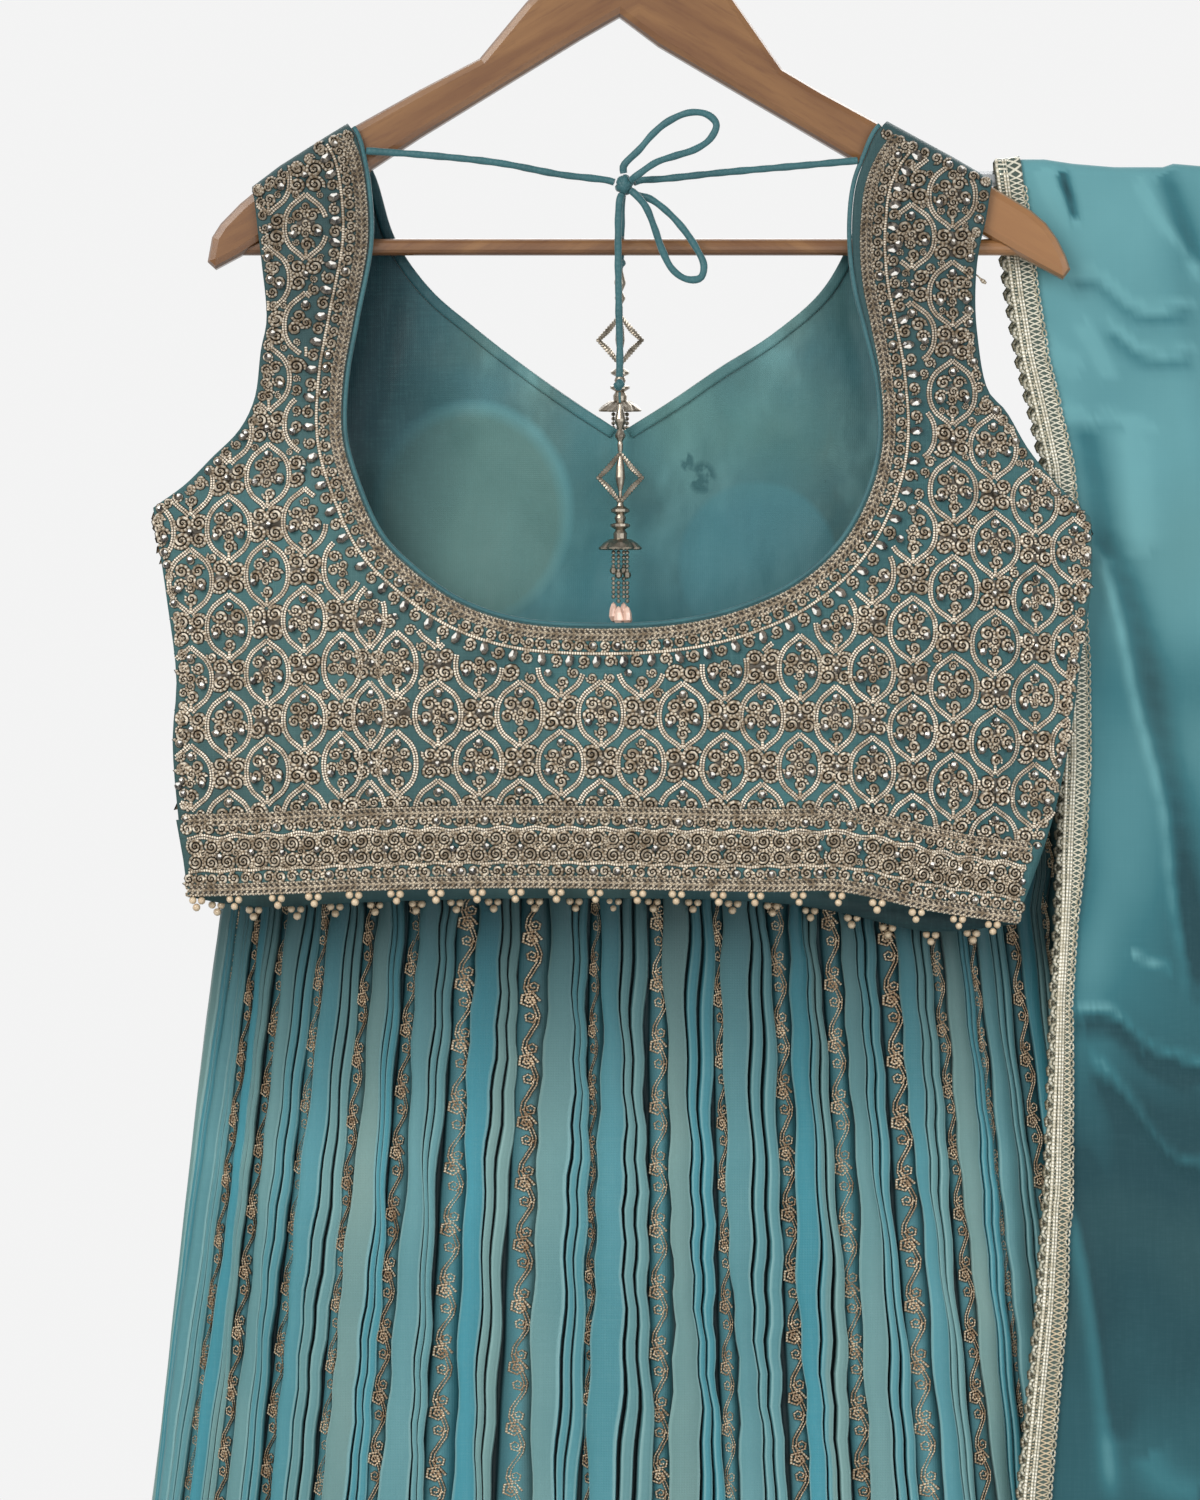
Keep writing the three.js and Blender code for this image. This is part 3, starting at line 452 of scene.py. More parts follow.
def lace_finish():
    """Woven edge lace: cross threads beside the cord, then a strip of crossing zigzags on a dark net."""
    finish = Finish("edge lace", 0.36, 0.4)
    run, across = finish.value("run"), finish.value("across")
    place_up = finish.ranged(across, 1.0, 8.2)
    swing = finish.math("MULTIPLY", finish.math("PINGPONG", run, ZIGZAG), 1 / ZIGZAG)
    one = finish.math("ABSOLUTE", finish.math("SUBTRACT", place_up, swing))
    other = finish.math("ABSOLUTE", finish.math("SUBTRACT", finish.math("ADD", place_up, swing), 1.0))
    zigzag = finish.ranged(finish.math("MINIMUM", one, other), 0.08, 0.2, 1, 0)
    threads = finish.ranged(finish.waves(run, 1.7), -0.2, 0.7)
    left = finish.ranged(across, 0.2, 1.0, 1, 0)
    right = finish.math("SUBTRACT", 1.0, left)
    body = finish.math("ADD", finish.math("MULTIPLY", threads, left), finish.math("MULTIPLY", zigzag, right))
    rims = finish.ranged(finish.math("ABSOLUTE", finish.math("SUBTRACT", across, 1.9)), 6.2, 6.8)
    body = finish.math("MAXIMUM", body, rims)
    light = finish.tint(rgb("e6e1ce"), "c4aa84", finish.axis("Z"), -0.8, -0.45, 0.7, 0)
    light = finish.tint(light, "8d978c", finish.noise(190.0, 2.0), 0.4, 0.75, 0, 0.5)
    finish.colour(finish.mix(finish.ranged(body, 0.1, 0.75), rgb("4a5850"), light))
    finish.bump(body, 0.8, 0.0006)
    return finish.material
def gem_finish(name, base, rough, metallic, coat, mottled):
    """Beads and pearls: a bright surface, uneven from piece to piece."""
    finish = Finish(name, rough, metallic, Coat_Weight=coat, Coat_Roughness=0.1)
    spots = finish.noise(220.0, 2.0)
    finish.colour(finish.tint(rgb(base), mottled, spots, 0.35, 0.75, 0, 0.7))
    finish.rough(finish.ranged(spots, 0.3, 0.8, rough, rough + 0.18))
    return finish.material


def stone_finish():
    """Smoky cut stones: dark bodies with a painted glint on one facet."""
    finish = Finish("smoky stones", 0.1, 0.35, Coat_Weight=1.0, Coat_Roughness=0.08)
    spots = finish.noise(300.0, 2.0)
    body = finish.tint(rgb("1d1a17"), "756c60", spots, 0.4, 0.65)
    # Painted glint: near-white where the crest marks the lit facet
    finish.colour(finish.tint(body, "fbf8f2", finish.value("crest"), 0.45, 0.75))
    finish.rough(finish.ranged(spots, 0.3, 0.7, 0.08, 0.2))
    return finish.material


def wood_finish():
    """Orange-brown wood whose grain runs down along both arms, with painted shade on the faces that look down and
    painted light on the right arm.
    """
    finish = Finish("lacquered wood", 0.36, Coat_Weight=0.35, Coat_Roughness=0.22)
    side, deep, up = [finish.axis(name) for name in "XYZ"]
    out = finish.math("ABSOLUTE", side)
    run = finish.math("SUBTRACT", finish.math("MULTIPLY", out, 0.86), finish.math("MULTIPLY", up, 0.5))
    across = finish.math("ADD", finish.math("MULTIPLY", out, 0.5), finish.math("MULTIPLY", up, 0.86))
    grain_at = node(finish.tree, "ShaderNodeCombineXYZ", {
        "X": finish.math("MULTIPLY", run, 6.0), "Y": finish.math("MULTIPLY", deep, 60.0),
        "Z": finish.math("MULTIPLY", across, 60.0)}).outputs["Vector"]
    fine = finish.noise(9.0, 4.0, grain_at, 0.65)
    base = finish.tint(rgb("6a4525"), "7f5933", finish.noise(1.6, 3.0, grain_at), 0.35, 0.65)
    base = finish.tint(base, "56311a", fine, 0.5, 0.72, 0, 0.45)
    # Painted shade on the faces that look down
    facing_way = node(finish.tree, "ShaderNodeNewGeometry").outputs["Normal"]
    down = node(finish.tree, "ShaderNodeSeparateXYZ", {"Vector": facing_way}).outputs["Z"]
    base = finish.tint(base, "3c2210", down, -0.95, -0.25, 0.6, 0)
    # Painted light: the right arm made lighter
    finish.colour(finish.tint(base, "ad7c4c", side, 0.1, 0.17, 0, 0.42))
    finish.bump(fine, 0.12, 0.0004)
    return finish.material


def steel_finish():
    """Plated wire with faint drawing marks."""
    finish = Finish("plated wire", 0.2, 1.0)
    drawn = finish.noise(60.0, 3.0, finish.scaled(1, 1, 0.06))
    finish.colour(finish.mix(drawn, rgb("a9adb0"), rgb("d6d8d9")))
    finish.rough(finish.ranged(drawn, 0.3, 0.7, 0.14, 0.3))
    return finish.material


def pleat_finish():
    """The skirt's cloth: pleats of sage and of teal, painted near-black shade in the valleys, painted highlights on
    the fold edges, and painted shade under the blouse.
    """
    finish = Finish("pleated crepe", 0.5, Sheen_Weight=0.12, Sheen_Roughness=0.35, Specular_IOR_Level=0.25)
    depth = finish.value("depth")
    base = finish.mix(finish.value("shade"), rgb("76908a"), rgb("408896"))
    base = finish.tint(base, "2b6a73", finish.noise(7.0, 3.0), 0.35, 0.65, 0, 0.4)
    height, slub = woven(finish, 240.0)
    base = finish.tint(base, "7aa2a2", slub, 0.95, 1.3, 0, 0.08)
    # Painted highlight on the fold edges
    base = finish.tint(base, "b0d6d4", depth, 1.0, 1.2, 0, 0.75)
    # Painted shade: near-black in the valleys
    base = finish.tint(base, "031a1f", depth, 0.05, 0.85, 0.98, 0)
    # Painted shade under the blouse's hem, on the front panel only
    under_hem = finish.ranged(finish.axis("Z"), -0.7, -0.575, 0, 0.8)
    in_front = finish.ranged(finish.axis("Y"), 0.046, 0.058, 1, 0)
    finish.colour(finish.mix(finish.math("MULTIPLY", under_hem, in_front), base, rgb("072a30")))
    finish.bump(height, 0.25, 0.0003)
    return finish.material


def scarf_finish():
    """Thin georgette with painted light and shade laid along its folds."""
    finish = Finish("georgette", 0.7, Sheen_Weight=0.18, Sheen_Roughness=0.5, Specular_IOR_Level=0.3)
    clouds = finish.ranged(finish.noise(9.0, 4.0), 0.3, 0.7, -0.07, 0.07)
    shade = finish.math("ADD", finish.value("shade"), clouds)
    # Painted light and painted shade from the scarf's shade attribute
    base = finish.tint(rgb("0d3b43"), "2b656e", shade, 0.0, 0.5)
    base = finish.tint(base, "5f959b", shade, 0.5, 1.0)
    base = finish.tint(base, "547c7a", finish.noise(5.0, 2.0), 0.5, 0.7, 0, 0.3)
    height, slub = woven(finish, 330.0)
    finish.colour(finish.tint(base, "7fb0b6", slub, 0.9, 1.35, 0, 0.02))
    finish.bump(height, 0.06, 0.0003)
    return finish.material


def tie_finish():
    """Sewn cloth tubes: fine puckers, and a seam along the run."""
    finish = Finish("sewn teal tube", 0.55, Sheen_Weight=0.3, Sheen_Roughness=0.4)
    puckers = finish.ranged(finish.waves(finish.value("run"), 2 * math.pi / 2.2), -1, 1)
    base = finish.mix(finish.noise(60.0, 3.0), rgb("174349"), rgb("34696f"))
    finish.colour(finish.tint(base, "0f363c", finish.value("crest"), 0.0, 0.5, 0.6, 0))
    finish.bump(finish.math("ADD", puckers, finish.noise(500.0, 2.0)), 0.35, 0.0003)
    return finish.material


def studio_finish():
    """The floor's pale paper."""
    finish = Finish("pale paper", 0.95)
    finish.colour(finish.mix(finish.noise(40.0, 2.0), rgb("c6c6c4"), rgb("d0d0ce")))
    return finish.material
CREPE = crepe_finish()
LINING = lining_finish()
THREAD = thread_finish("champagne cord", "14110c", "8b7962", "fff5e3", 1.35, strap_shade=0.34)
VINE = thread_finish("rose gold thread", "2c2317", "a3876a", "fff0d6", 1.5)
LACE = lace_finish()
SCALLOP = thread_finish("lace thread", "6d6f62", "b9b199", "faf6e8", 1.9)
STONE = stone_finish()
PEARL = gem_finish("pearls", "cdb99c", 0.25, 0.0, 0.6, "a98f70")
SILVER = gem_finish("antique silver", "a79e90", 0.28, 1.0, 0.0, "453d34")
CRYSTAL = gem_finish("peach crystals", "e8c6b4", 0.06, 0.15, 1.0, "b08a78")
WOOD = wood_finish()
STEEL = steel_finish()
PLEAT = pleat_finish()
GEORGETTE = scarf_finish()
TIE = tie_finish()


# Trees that sew shapes on, and that lay cords along lines
def named(tree, name):
    made = node(tree, "GeometryNodeInputNamedAttribute", {"Name": name}, data_type="FLOAT_VECTOR")
    return next(s for s in made.outputs if s.name == "Attribute" and s.enabled)


def tree_for(name, choice):
    """A tree that takes a seed, a chosen object and a finish, with the object's geometry."""
    tree = bpy.data.node_groups.new(name, "GeometryNodeTree")
    source, sink = group_io(
        tree, [("Geometry", "NodeSocketGeometry"), (choice, "NodeSocketObject"), ("Finish", "NodeSocketMaterial")],
        [("Geometry", "NodeSocketGeometry")])
    chosen = node(tree, "GeometryNodeObjectInfo", {"Object": source.outputs[choice]})
    return tree, source, sink, chosen.outputs["Geometry"]


def end_tree(tree, source, sink, geometry):
    real = node(tree, "GeometryNodeRealizeInstances", {"Geometry": geometry})
    done = node(tree, "GeometryNodeSetMaterial", {
        "Geometry": real.outputs["Geometry"], "Material": source.outputs["Finish"]})
    tree.links.new(done.outputs["Geometry"], sink.inputs["Geometry"])
    return tree


def sewing_tree():
    """A shape on each point, upright on the point's lean and turned to its heading."""
    tree, source, sink, shape = tree_for("sew_on", "Shape")
    turn = node(tree, "FunctionNodeAxesToRotation", {
        "Primary Axis": named(tree, "lean"), "Secondary Axis": named(tree, "heading")},
        primary_axis="Z", secondary_axis="X")
    spots = node(tree, "GeometryNodeInstanceOnPoints", {
        "Points": source.outputs["Geometry"], "Instance": shape,
        "Rotation": turn.outputs["Rotation"], "Scale": named(tree, "size")})
    return end_tree(tree, source, sink, spots.outputs["Instances"])


def laying_tree():
    """A cord along each line, its profile upright on the line's lean."""
    tree, source, sink, section = tree_for("lay_cord", "Profile")
    line = node(tree, "GeometryNodeMeshToCurve", {"Mesh": source.outputs["Geometry"]})
    stood = node(tree, "GeometryNodeSetCurveNormal", {
        "Curve": line.outputs["Curve"], "Normal": named(tree, "lean")}, mode="FREE")
    outline = node(tree, "GeometryNodeMeshToCurve", {"Mesh": section})
    swept = node(tree, "GeometryNodeCurveToMesh", {
        "Curve": stood.outputs["Curve"], "Profile Curve": outline.outputs["Curve"]})
    return end_tree(tree, source, sink, swept.outputs["Mesh"])
SEW = sewing_tree()
LAY = laying_tree()


def grown(name, seed_mesh, tree, **choices):
    """The plain mesh that a tree grows from a seed mesh."""
    seed = linked(name + "_seed", seed_mesh)
    made = seed.modifiers.new("grow", "NODES")
    made.node_group = tree
    for item in tree.interface.items_tree:
        if item.item_type == "SOCKET" and item.in_out == "INPUT" and item.name in choices:
            made[item.identifier] = choices[item.name]
    graph = bpy.context.evaluated_depsgraph_get()
    mesh = bpy.data.meshes.new_from_object(seed.evaluated_get(graph), depsgraph=graph)
    bpy.data.objects.remove(seed)
    mesh.name = name
    return mesh


# Small shapes, each built upright on +Z
def coil_mesh(name, radius, pitch, high, turns, sides):
    """A coil of cord as one ridged strip, from its rim, widened on the outer turn to show painted dark shade round the
    coil, in to its heart.
    """
    steps = int(turns * sides)
    points, run, crest = [], [], []
    for i in range(steps + 1):
        a = 2 * math.pi * i / sides
        r = radius - pitch / 2 - pitch * i / sides
        low = 0.25 * high
        rim = pitch / 2
        # The outer turn reaches further out and lower with a low crest: painted shade round the coil
        if i < sides:
            low, rim = -0.1, rim + 0.35
        for dr, z, c in ((rim, low, 0.0), (0.0, high, 1.0), (-pitch / 2, 0.25 * high, 0.0)):
            ring = max(r + dr, 0)
            points.append([ring * math.cos(a), ring * math.sin(a), z])
            run.append(a * max(r, 0.3))
            crest.append(c)
    return plain_mesh(name, points, grid_faces(steps + 1, 3, flip=True), run=run, crest=crest)


def turned_mesh(name, profile, sides, crest=None):
    """A turned shape from rows of [radius, z], foot to top."""
    profile = np.array(profile, float)
    angles = 2 * np.pi * np.arange(sides) / sides
    grid = np.stack([
        profile[:, None, 0] * np.cos(angles), profile[:, None, 0] * np.sin(angles),
        profile[:, None, 1] + 0 * angles], -1)
    return plain_mesh(
        name, grid.reshape(-1, 3), grid_faces(len(profile), sides, ring=True),
        run=np.tile(angles * 2, len(profile)),
        crest=np.ones(len(profile) * sides) if crest is None else np.ravel(crest))


def loop_mesh(name, long, wide, thick, around):
    """A stitch loop: an oval ring of three-sided thread."""
    a = 2 * np.pi * np.arange(around) / around
    b = np.array([np.pi / 2, np.pi * 7 / 6, np.pi * 11 / 6])
    x = (long + thick * np.cos(b)[None]) * np.cos(a)[:, None]
    y = (wide + thick * np.cos(b)[None]) * np.sin(a)[:, None]
    z = thick * np.sin(b)[None] + thick * 0.6 + 0 * a[:, None]
    grid = np.stack([x, y, z], -1)
    closed = np.concatenate([grid, grid[:1]])
    return plain_mesh(
        name, closed.reshape(-1, 3), grid_faces(around + 1, 3, ring=True, flip=True),
        run=np.repeat(np.arange(around + 1) * 1.2, 3), crest=np.tile([1.0, 0.6, 0.6], around + 1))


SHAPES = {}


def keep_shape(name, mesh):
    """Keep a shape for the trees, outside the scene."""
    SHAPES[name] = bpy.data.objects.new(name, mesh)


COILS = {                    # radius, the cord's pitch, height, turns, and sides to a turn
    "coil": [4.6, 1.75, 1.7, 2.4, 10], "big_coil": [5.4, 1.75, 1.9, 2.9, 10],
    "small_coil": [3.5, 1.55, 1.5, 2.2, 9], "coil_plain": [4.6, 1.9, 1.7, 2.1, 7],
    "big_coil_plain": [5.4, 2.0, 1.9, 2.3, 7], "small_coil_plain": [3.5, 1.7, 1.5, 1.9, 6],
}
# The painted glint on a cut stone: how bright each corner is, ring by ring
PAINTED_STONE_GLINT = [
    [0, 0, 0, 0, 0, 0, 0], [0, 0.2, 0.3, 0, 0, 0, 0], [0, 0.9, 1, 0.2, 0, 0, 0],
    [0.1, 0.9, 1, 0.3, 0, 0.5, 0.1],
    [0.55, 0.55, 0.55, 0.55, 0.55, 0.55, 0.55],
]
# The brightness is the crest: for the stone its painted glint, for the flat bed a low value, so the bed shows as
# painted shade under the coils
TURNED = {                   # rows of [radius, z], sides, and brightness
    "bed": [[[6.6, -0.1], [5.9, 0.14], [0, 0.16]], 8, np.full(24, 0.27)],
    "stone": [[[1.9, -0.3], [2.15, 0.9], [1.8, 1.7], [0.9, 2.4], [0, 2.5]], 7, PAINTED_STONE_GLINT],
    "pearl": [[[0, -2.1], [1.3, -1.7], [2.15, 0], [1.5, 1.5], [0.5, 2.1], [0, 2.0]], 10, None],
}
# A low crest shows painted near-black shade; the flat bed profile is a dark strip of painted shade under the braid
CORD_PROFILES = {            # rows of [across, height, crest]
    "double": [[-1.6, -0.1, 0], [-0.7, 1.05, 1], [0, 0.3, 0.1], [0.7, 1.05, 1], [1.6, -0.1, 0]],
    "bed": [[-3.3, 0.05, 0.25], [3.3, 0.05, 0.25]],
    "single": [[-1.1, -0.2, 0], [-0.6, 0.7, 0.6], [0, 1.15, 1], [0.6, 0.7, 0.6], [1.1, -0.2, 0]],
}
for name, sizes in COILS.items():
    keep_shape(name, coil_mesh(name, *sizes))
for name, around in (("loop", 8), ("loop_plain", 6)):
    keep_shape(name, loop_mesh(name, 2.0, 1.2, 0.62, around))
for name, sizes in TURNED.items():
    keep_shape(name, turned_mesh(name, *sizes))
for name, rows in CORD_PROFILES.items():
    edges = [[i, i + 1] for i in range(len(rows) - 1)]
    section = plain_mesh(name, [[high, across, 0] for across, high, _ in rows], [], edges,
                         crest=[row[2] for row in rows])
    keep_shape(name + "_profile", section)
class Work:
    """Sewn work on a surface: shapes on spots and cords on lines, gathered and then grown at once."""

    def __init__(self, surface, kind=""):
        self.surface = surface       # gives points and leans from x, z
        self.kind = kind             # "_plain" takes the coils with fewer faces
        self.spots = {}
        self.lines = {}

    def spot(self, shape, x, z, spin=0.0, size=1.0, wide=1.0, lift=0.0):
        self.spots.setdefault(shape, []).append([x, z, spin, size, wide, lift])

    def stone(self, x, z, size, wide, lift):
        self.spot("stone", x, z, chance.uniform(-0.6, 0.8), size, wide, lift)

    def line(self, profile, xz):
        if len(xz) > 1:
            self.lines.setdefault(profile, []).append(np.asarray(xz, float))

    def shape_mesh(self, shape, finish):
        rows = np.array(self.spots[shape])
        points, leans = self.surface(rows[:, 0], rows[:, 1])
        points = points + leans * rows[:, 5:6]
        flat_heading = np.stack([np.cos(rows[:, 2]), 0 * rows[:, 2], np.sin(rows[:, 2])], -1)
        size = np.stack([rows[:, 3] * rows[:, 4], rows[:, 3], np.maximum(rows[:, 3], 0.8)], -1)
        seed = plain_mesh(shape, points, [], lean=leans, heading=flat_heading, size=size,
                          tone=chance.random(len(rows)))
        return grown(shape, seed, SEW, Shape=SHAPES.get(shape + self.kind, SHAPES[shape]), Finish=finish)

    def cord_mesh(self, profile, finish):
        points, leans, edges, run, tones = [], [], [], [], []
        for xz in self.lines[profile]:
            start = sum(len(p) for p in points)
            place, lean = self.surface(xz[:, 0], xz[:, 1])
            points.append(place)
            leans.append(lean)
            steps = np.concatenate([[0], np.cumsum(np.linalg.norm(np.diff(place, axis=0), axis=1))])
            run.append(steps)
            tones.append(np.full(len(xz), chance.random()))
            edges += [[start + i, start + i + 1] for i in range(len(xz) - 1)]
        seed = plain_mesh(profile, np.vstack(points), [], edges, lean=np.vstack(leans),
                          run=np.concatenate(run), tone=np.concatenate(tones))
        return grown(profile, seed, LAY, Profile=SHAPES[profile + "_profile"], Finish=finish)


def joined_piece(name, meshes):
    """One piece from several meshes that share their attributes."""
    parts = [linked(f"{name}_{i}", mesh) for i, mesh in enumerate(meshes)]
    for other in bpy.context.view_layer.objects:
        other.select_set(other in parts)
    bpy.context.view_layer.objects.active = parts[0]
    bpy.ops.object.join()
    piece = bpy.context.view_layer.objects.active
    piece.name = name
    piece.data.name = name
    return piece


# The camera, lights and floor
FLOOR_Z = -1640              # the outfit hangs clear of the floor
FLOOR_RINGS = [[0.0, 0.0], [1.0, 0.0], [1.9, 0.004], [2.3, 0.02]]    # radius and rise, in metres
LIT = (0.03, 0, -0.6)
LIGHTS = {                   # place, size, power, colour
    "key": [(-1.5, -2.2, 0.9), 1.6, 62, (1, 0.98, 0.95)],
    "fill": [(1.9, -2.4, -0.2), 2.2, 30, (0.95, 0.98, 1)],
    "low": [(0.2, -2.4, -1.7), 1.8, 12, (1, 1, 1)],
    "back": [(0.4, 2.2, 0.8), 2.0, 40, (1, 1, 1)],
}


def studio():
    scene = bpy.context.scene
    camera = bpy.data.objects.new("camera", bpy.data.cameras.new("camera"))
    camera.location = (VIEW_X * MM, VIEW_FROM * MM, VIEW_Z * MM)
    camera.rotation_euler = (math.radians(90), 0, 0)
    camera.data.lens = LENS
    camera.data.sensor_width = 36
    scene.collection.objects.link(camera)
    scene.camera = camera
    for name, (place, size, power, colour) in LIGHTS.items():
        lamp = bpy.data.lights.new(name, "AREA")
        lamp.size = size
        lamp.energy = power
        lamp.color = colour
        holder = bpy.data.objects.new(name, lamp)
        holder.location = place
        holder.rotation_euler = (Vector(LIT) - Vector(place)).to_track_quat("-Z", "Y").to_euler()
        scene.collection.objects.link(holder)
    world = bpy.data.worlds.new("studio")
    world.use_nodes = True
    tree = world.node_tree
    way = node(tree, "ShaderNodeTexCoord").outputs["Generated"]
    behind = node(tree, "ShaderNodeSeparateXYZ", {"Vector": way}).outputs["Y"]
    glow = node(tree, "ShaderNodeMapRange", {
        "Value": behind, "From Min": -0.1, "From Max": 0.5, "To Min": 0.55, "To Max": 0.9}, clamp=True)
    tree.nodes["Background"].inputs["Color"].default_value = (1, 1, 1, 1)
    tree.links.new(glow.outputs["Result"], tree.nodes["Background"].inputs["Strength"])
    scene.world = world
    scene.view_settings.view_transform = "Standard"
    angles = 2 * np.pi * np.arange(64) / 64
    points = [
        [1000 * r * math.cos(a) + 30, 1000 * r * math.sin(a), FLOOR_Z + 1000 * rise]
        for r, rise in FLOOR_RINGS for a in angles]
    ground_mesh = plain_mesh("ground", points, grid_faces(len(FLOOR_RINGS), 64, ring=True))
    ground_mesh.shade_smooth()
    linked("ground", ground_mesh, studio_finish())


studio()

# The neck cords, their bow and the two tassels. Rows are [x, y, z].
DORI_R = 1.8
KNOT = np.array([-7.5, -13, -197])
KNOT_R = np.array([5, 5.2, 5.8])


def from_knot(x, y, z):
    """Where a cord leaves the knot in a direction: its first point and the next one."""
    out = unit(np.array([x, y, z], float))
    reach = 1 / np.linalg.norm(out / KNOT_R) + GAP + 0.1
    return [(KNOT + out * r).tolist() for r in (reach, reach + 3.5)]


DORI = {
    "dori_left": [
        [-140.2, -10.6, -179], [-108, -12, -181.5], [-72, -13, -185.5], [-40, -13, -191.5],
        *from_knot(-0.95, 0.1, 0.3)[::-1],
    ],
    "dori_right": [
        [112.4, -10.6, -184], [80, -11.5, -187], [42, -12, -190.4], [12, -12, -193.6],
        *from_knot(0.9, 0.32, 0.32)[::-1],
    ],
    "dori_loop_upper": [
        *from_knot(-0.05, -0.15, 1), [0.5, -14.6, -178.5], [7, -15, -171], [15, -15.5, -164.5],
        [26, -16, -160],
        [35, -16, -161], [39.7, -16.4, -166], [36.6, -17, -173.5], [29, -18, -179], [18.6, -18.6, -182.5],
        [8.6, -19, -186], *from_knot(0.62, -0.68, 0.4)[::-1],
    ],
    "dori_loop_lower": [
        *from_knot(0.62, -0.55, -0.56), [3.4, -18.6, -208.5], [7.8, -18.4, -219], [11.4, -18, -229.5],
        [17, -18, -240.5], [24.3, -18, -245.6], [31.5, -17.5, -245], [33.3, -16.5, -238.5],
        [29.4, -15, -229.5],
        [22.2, -13.6, -218.7], [13.6, -11.8, -209.5], [5.6, -10.6, -203.6],
        *from_knot(0.75, 0.4, -0.5)[::-1],
    ],
    "dori_tail_front": [
        *from_knot(-0.25, -0.45, -0.86), [-10.6, -16, -215], [-10.6, -14.6, -240], [-10.2, -13, -266],
        [-9.8, -12.2, -282], [-10, -12, -295.3],
    ],
    "dori_tail_back": [
        *from_knot(-0.15, 0.5, -0.85), [-9, -7.5, -214], [-9.1, -4.6, -221.6], [-9.2, 0, -220.6],
        [-9.3, 4.9, -222.6], [-9.4, 6.6, -228], [-9.5, 6.8, -236],
    ],
}


def tube_mesh(name, path, wide, thick, sides=10):
    """An oval tube along points: wide across the viewer's direction and thick along it, with closed ends."""
    path = np.asarray(path, float)
    ahead = unit(np.gradient(path, axis=0))
    front = unit(np.array([0.0, 1.0, 0.0]) - ahead * ahead[:, 1:2])
    across = np.cross(ahead, front)
    a = 2 * np.pi * np.arange(sides) / sides
    count = len(path)
    wide, thick = np.broadcast_to(wide, count), np.broadcast_to(thick, count)
    grid = (path[:, None] + across[:, None] * (wide[:, None] * np.cos(a))[..., None]
            + front[:, None] * (thick[:, None] * np.sin(a))[..., None])
    run = np.concatenate([[0], np.cumsum(np.linalg.norm(np.diff(path, axis=0), axis=1))])
    crest = np.tile(np.where(np.arange(sides) == 0, 0.0, 1.0), count)
    ends = [list(range(sides)), [sides * count - 1 - k for k in range(sides)]]
    faces = [*grid_faces(count, sides, ring=True, flip=True).tolist(), *ends]
    mesh = plain_mesh(name, grid.reshape(-1, 3), faces, run=np.repeat(run, sides), crest=crest)
    mesh.shade_smooth()
    return mesh


def bound_knot(name, centre, radii, bands):
    """A knot of wrapped cord: bands that pass over each other round its middle."""
    meshes = []
    for tilt, turn, reach in bands:
        a = np.linspace(0, 2 * np.pi, 21)
        ring = np.stack([np.cos(a), 0.95 * np.sin(a), 0 * a], -1)
        ct, st, cu, su = math.cos(tilt), math.sin(tilt), math.cos(turn), math.sin(turn)
        ring = np.stack([ring[:, 0] * ct, ring[:, 1], ring[:, 0] * st], -1)
        ring = np.stack([ring[:, 0], ring[:, 1] * cu - ring[:, 2] * su, ring[:, 1] * su + ring[:, 2] * cu], -1)
        path = np.asarray(centre) + ring * np.asarray(radii) * reach
        out = unit(ring)
        ahead = unit(np.gradient(path, axis=0))
        across = np.cross(ahead, out)
        b = 2 * np.pi * np.arange(8) / 8
        grid = (path[:, None] + across[:, None] * (1.9 * np.cos(b))[None, :, None]
                + out[:, None] * (1.1 * np.sin(b))[None, :, None])
        run = np.arange(len(grid)) * 1.5
        meshes.append(plain_mesh(
            name, grid.reshape(-1, 3), grid_faces(len(grid), 8, ring=True),
            run=np.repeat(run, 8), crest=np.tile([0.0, 1, 1, 1, 0.0, 1, 1, 1], len(grid))))
    for mesh in meshes:
        mesh.materials.append(TIE)
        mesh.shade_smooth()
    return joined_piece(name, meshes)


TASSEL_METAL = {
    "head": [[0, -24.8], [1.2, -24.6], [1.5, -21], [1.2, -19.6], [2.6, -17.2], [2.8, -16.2], [1.9, -14.4],
             [1.2, -13.2], [2.9, -9.4], [3, -8], [1.6, -3], [1.3, -0.6], [0, 0]],
    "drop": [[0, -51], [0.9, -48], [0.9, -45], [1.9, -41.5], [2.5, -38], [2.1, -32], [1, -27], [0, -26]],
    "stack": [[0, -70], [3.4, -70], [3.6, -66.8], [2.4, -64.8], [5, -63.3], [5.1, -62], [2.2, -61.2], [3, -59],
              [2.2, -57], [4.8, -55.7], [4.8, -54.4], [2, -52.6], [1.5, -51], [0, -50]],
}
STRAND_SPOTS = [[-3.45, 0.6], [-0.9, -1.8], [1.8, 1.4], [3.6, -1]]
FRAME_WIDE, FRAME_TALL, FRAME_Z = 12.6, 14.2, -38.2
CAP_RINGS = [                # share of the petals' reach, height, and how far each petal's middle stands up
    [0.28, -69.4, 0], [0.55, -70.2, 0.4], [0.8, -72, 0.5], [1.0, -74.2, 0], [0.97, -75.0, 0],
    [0.6, -72.6, 0],
    [0.2, -71.2, 0],
]


def metal_mesh(name, grid):
    """Rings joined into a shape of plain metal."""
    count, sides = grid.shape[:2]
    return plain_mesh(name, grid.reshape(-1, 3), grid_faces(count, sides, ring=True, flip=True),
                      run=np.zeros(count * sides), crest=np.ones(count * sides))


def moved(mesh, x, y, z, big=1.0):
    for vertex in mesh.vertices:
        vertex.co = vertex.co * big + Vector((x, y, z)) * MM
    return mesh


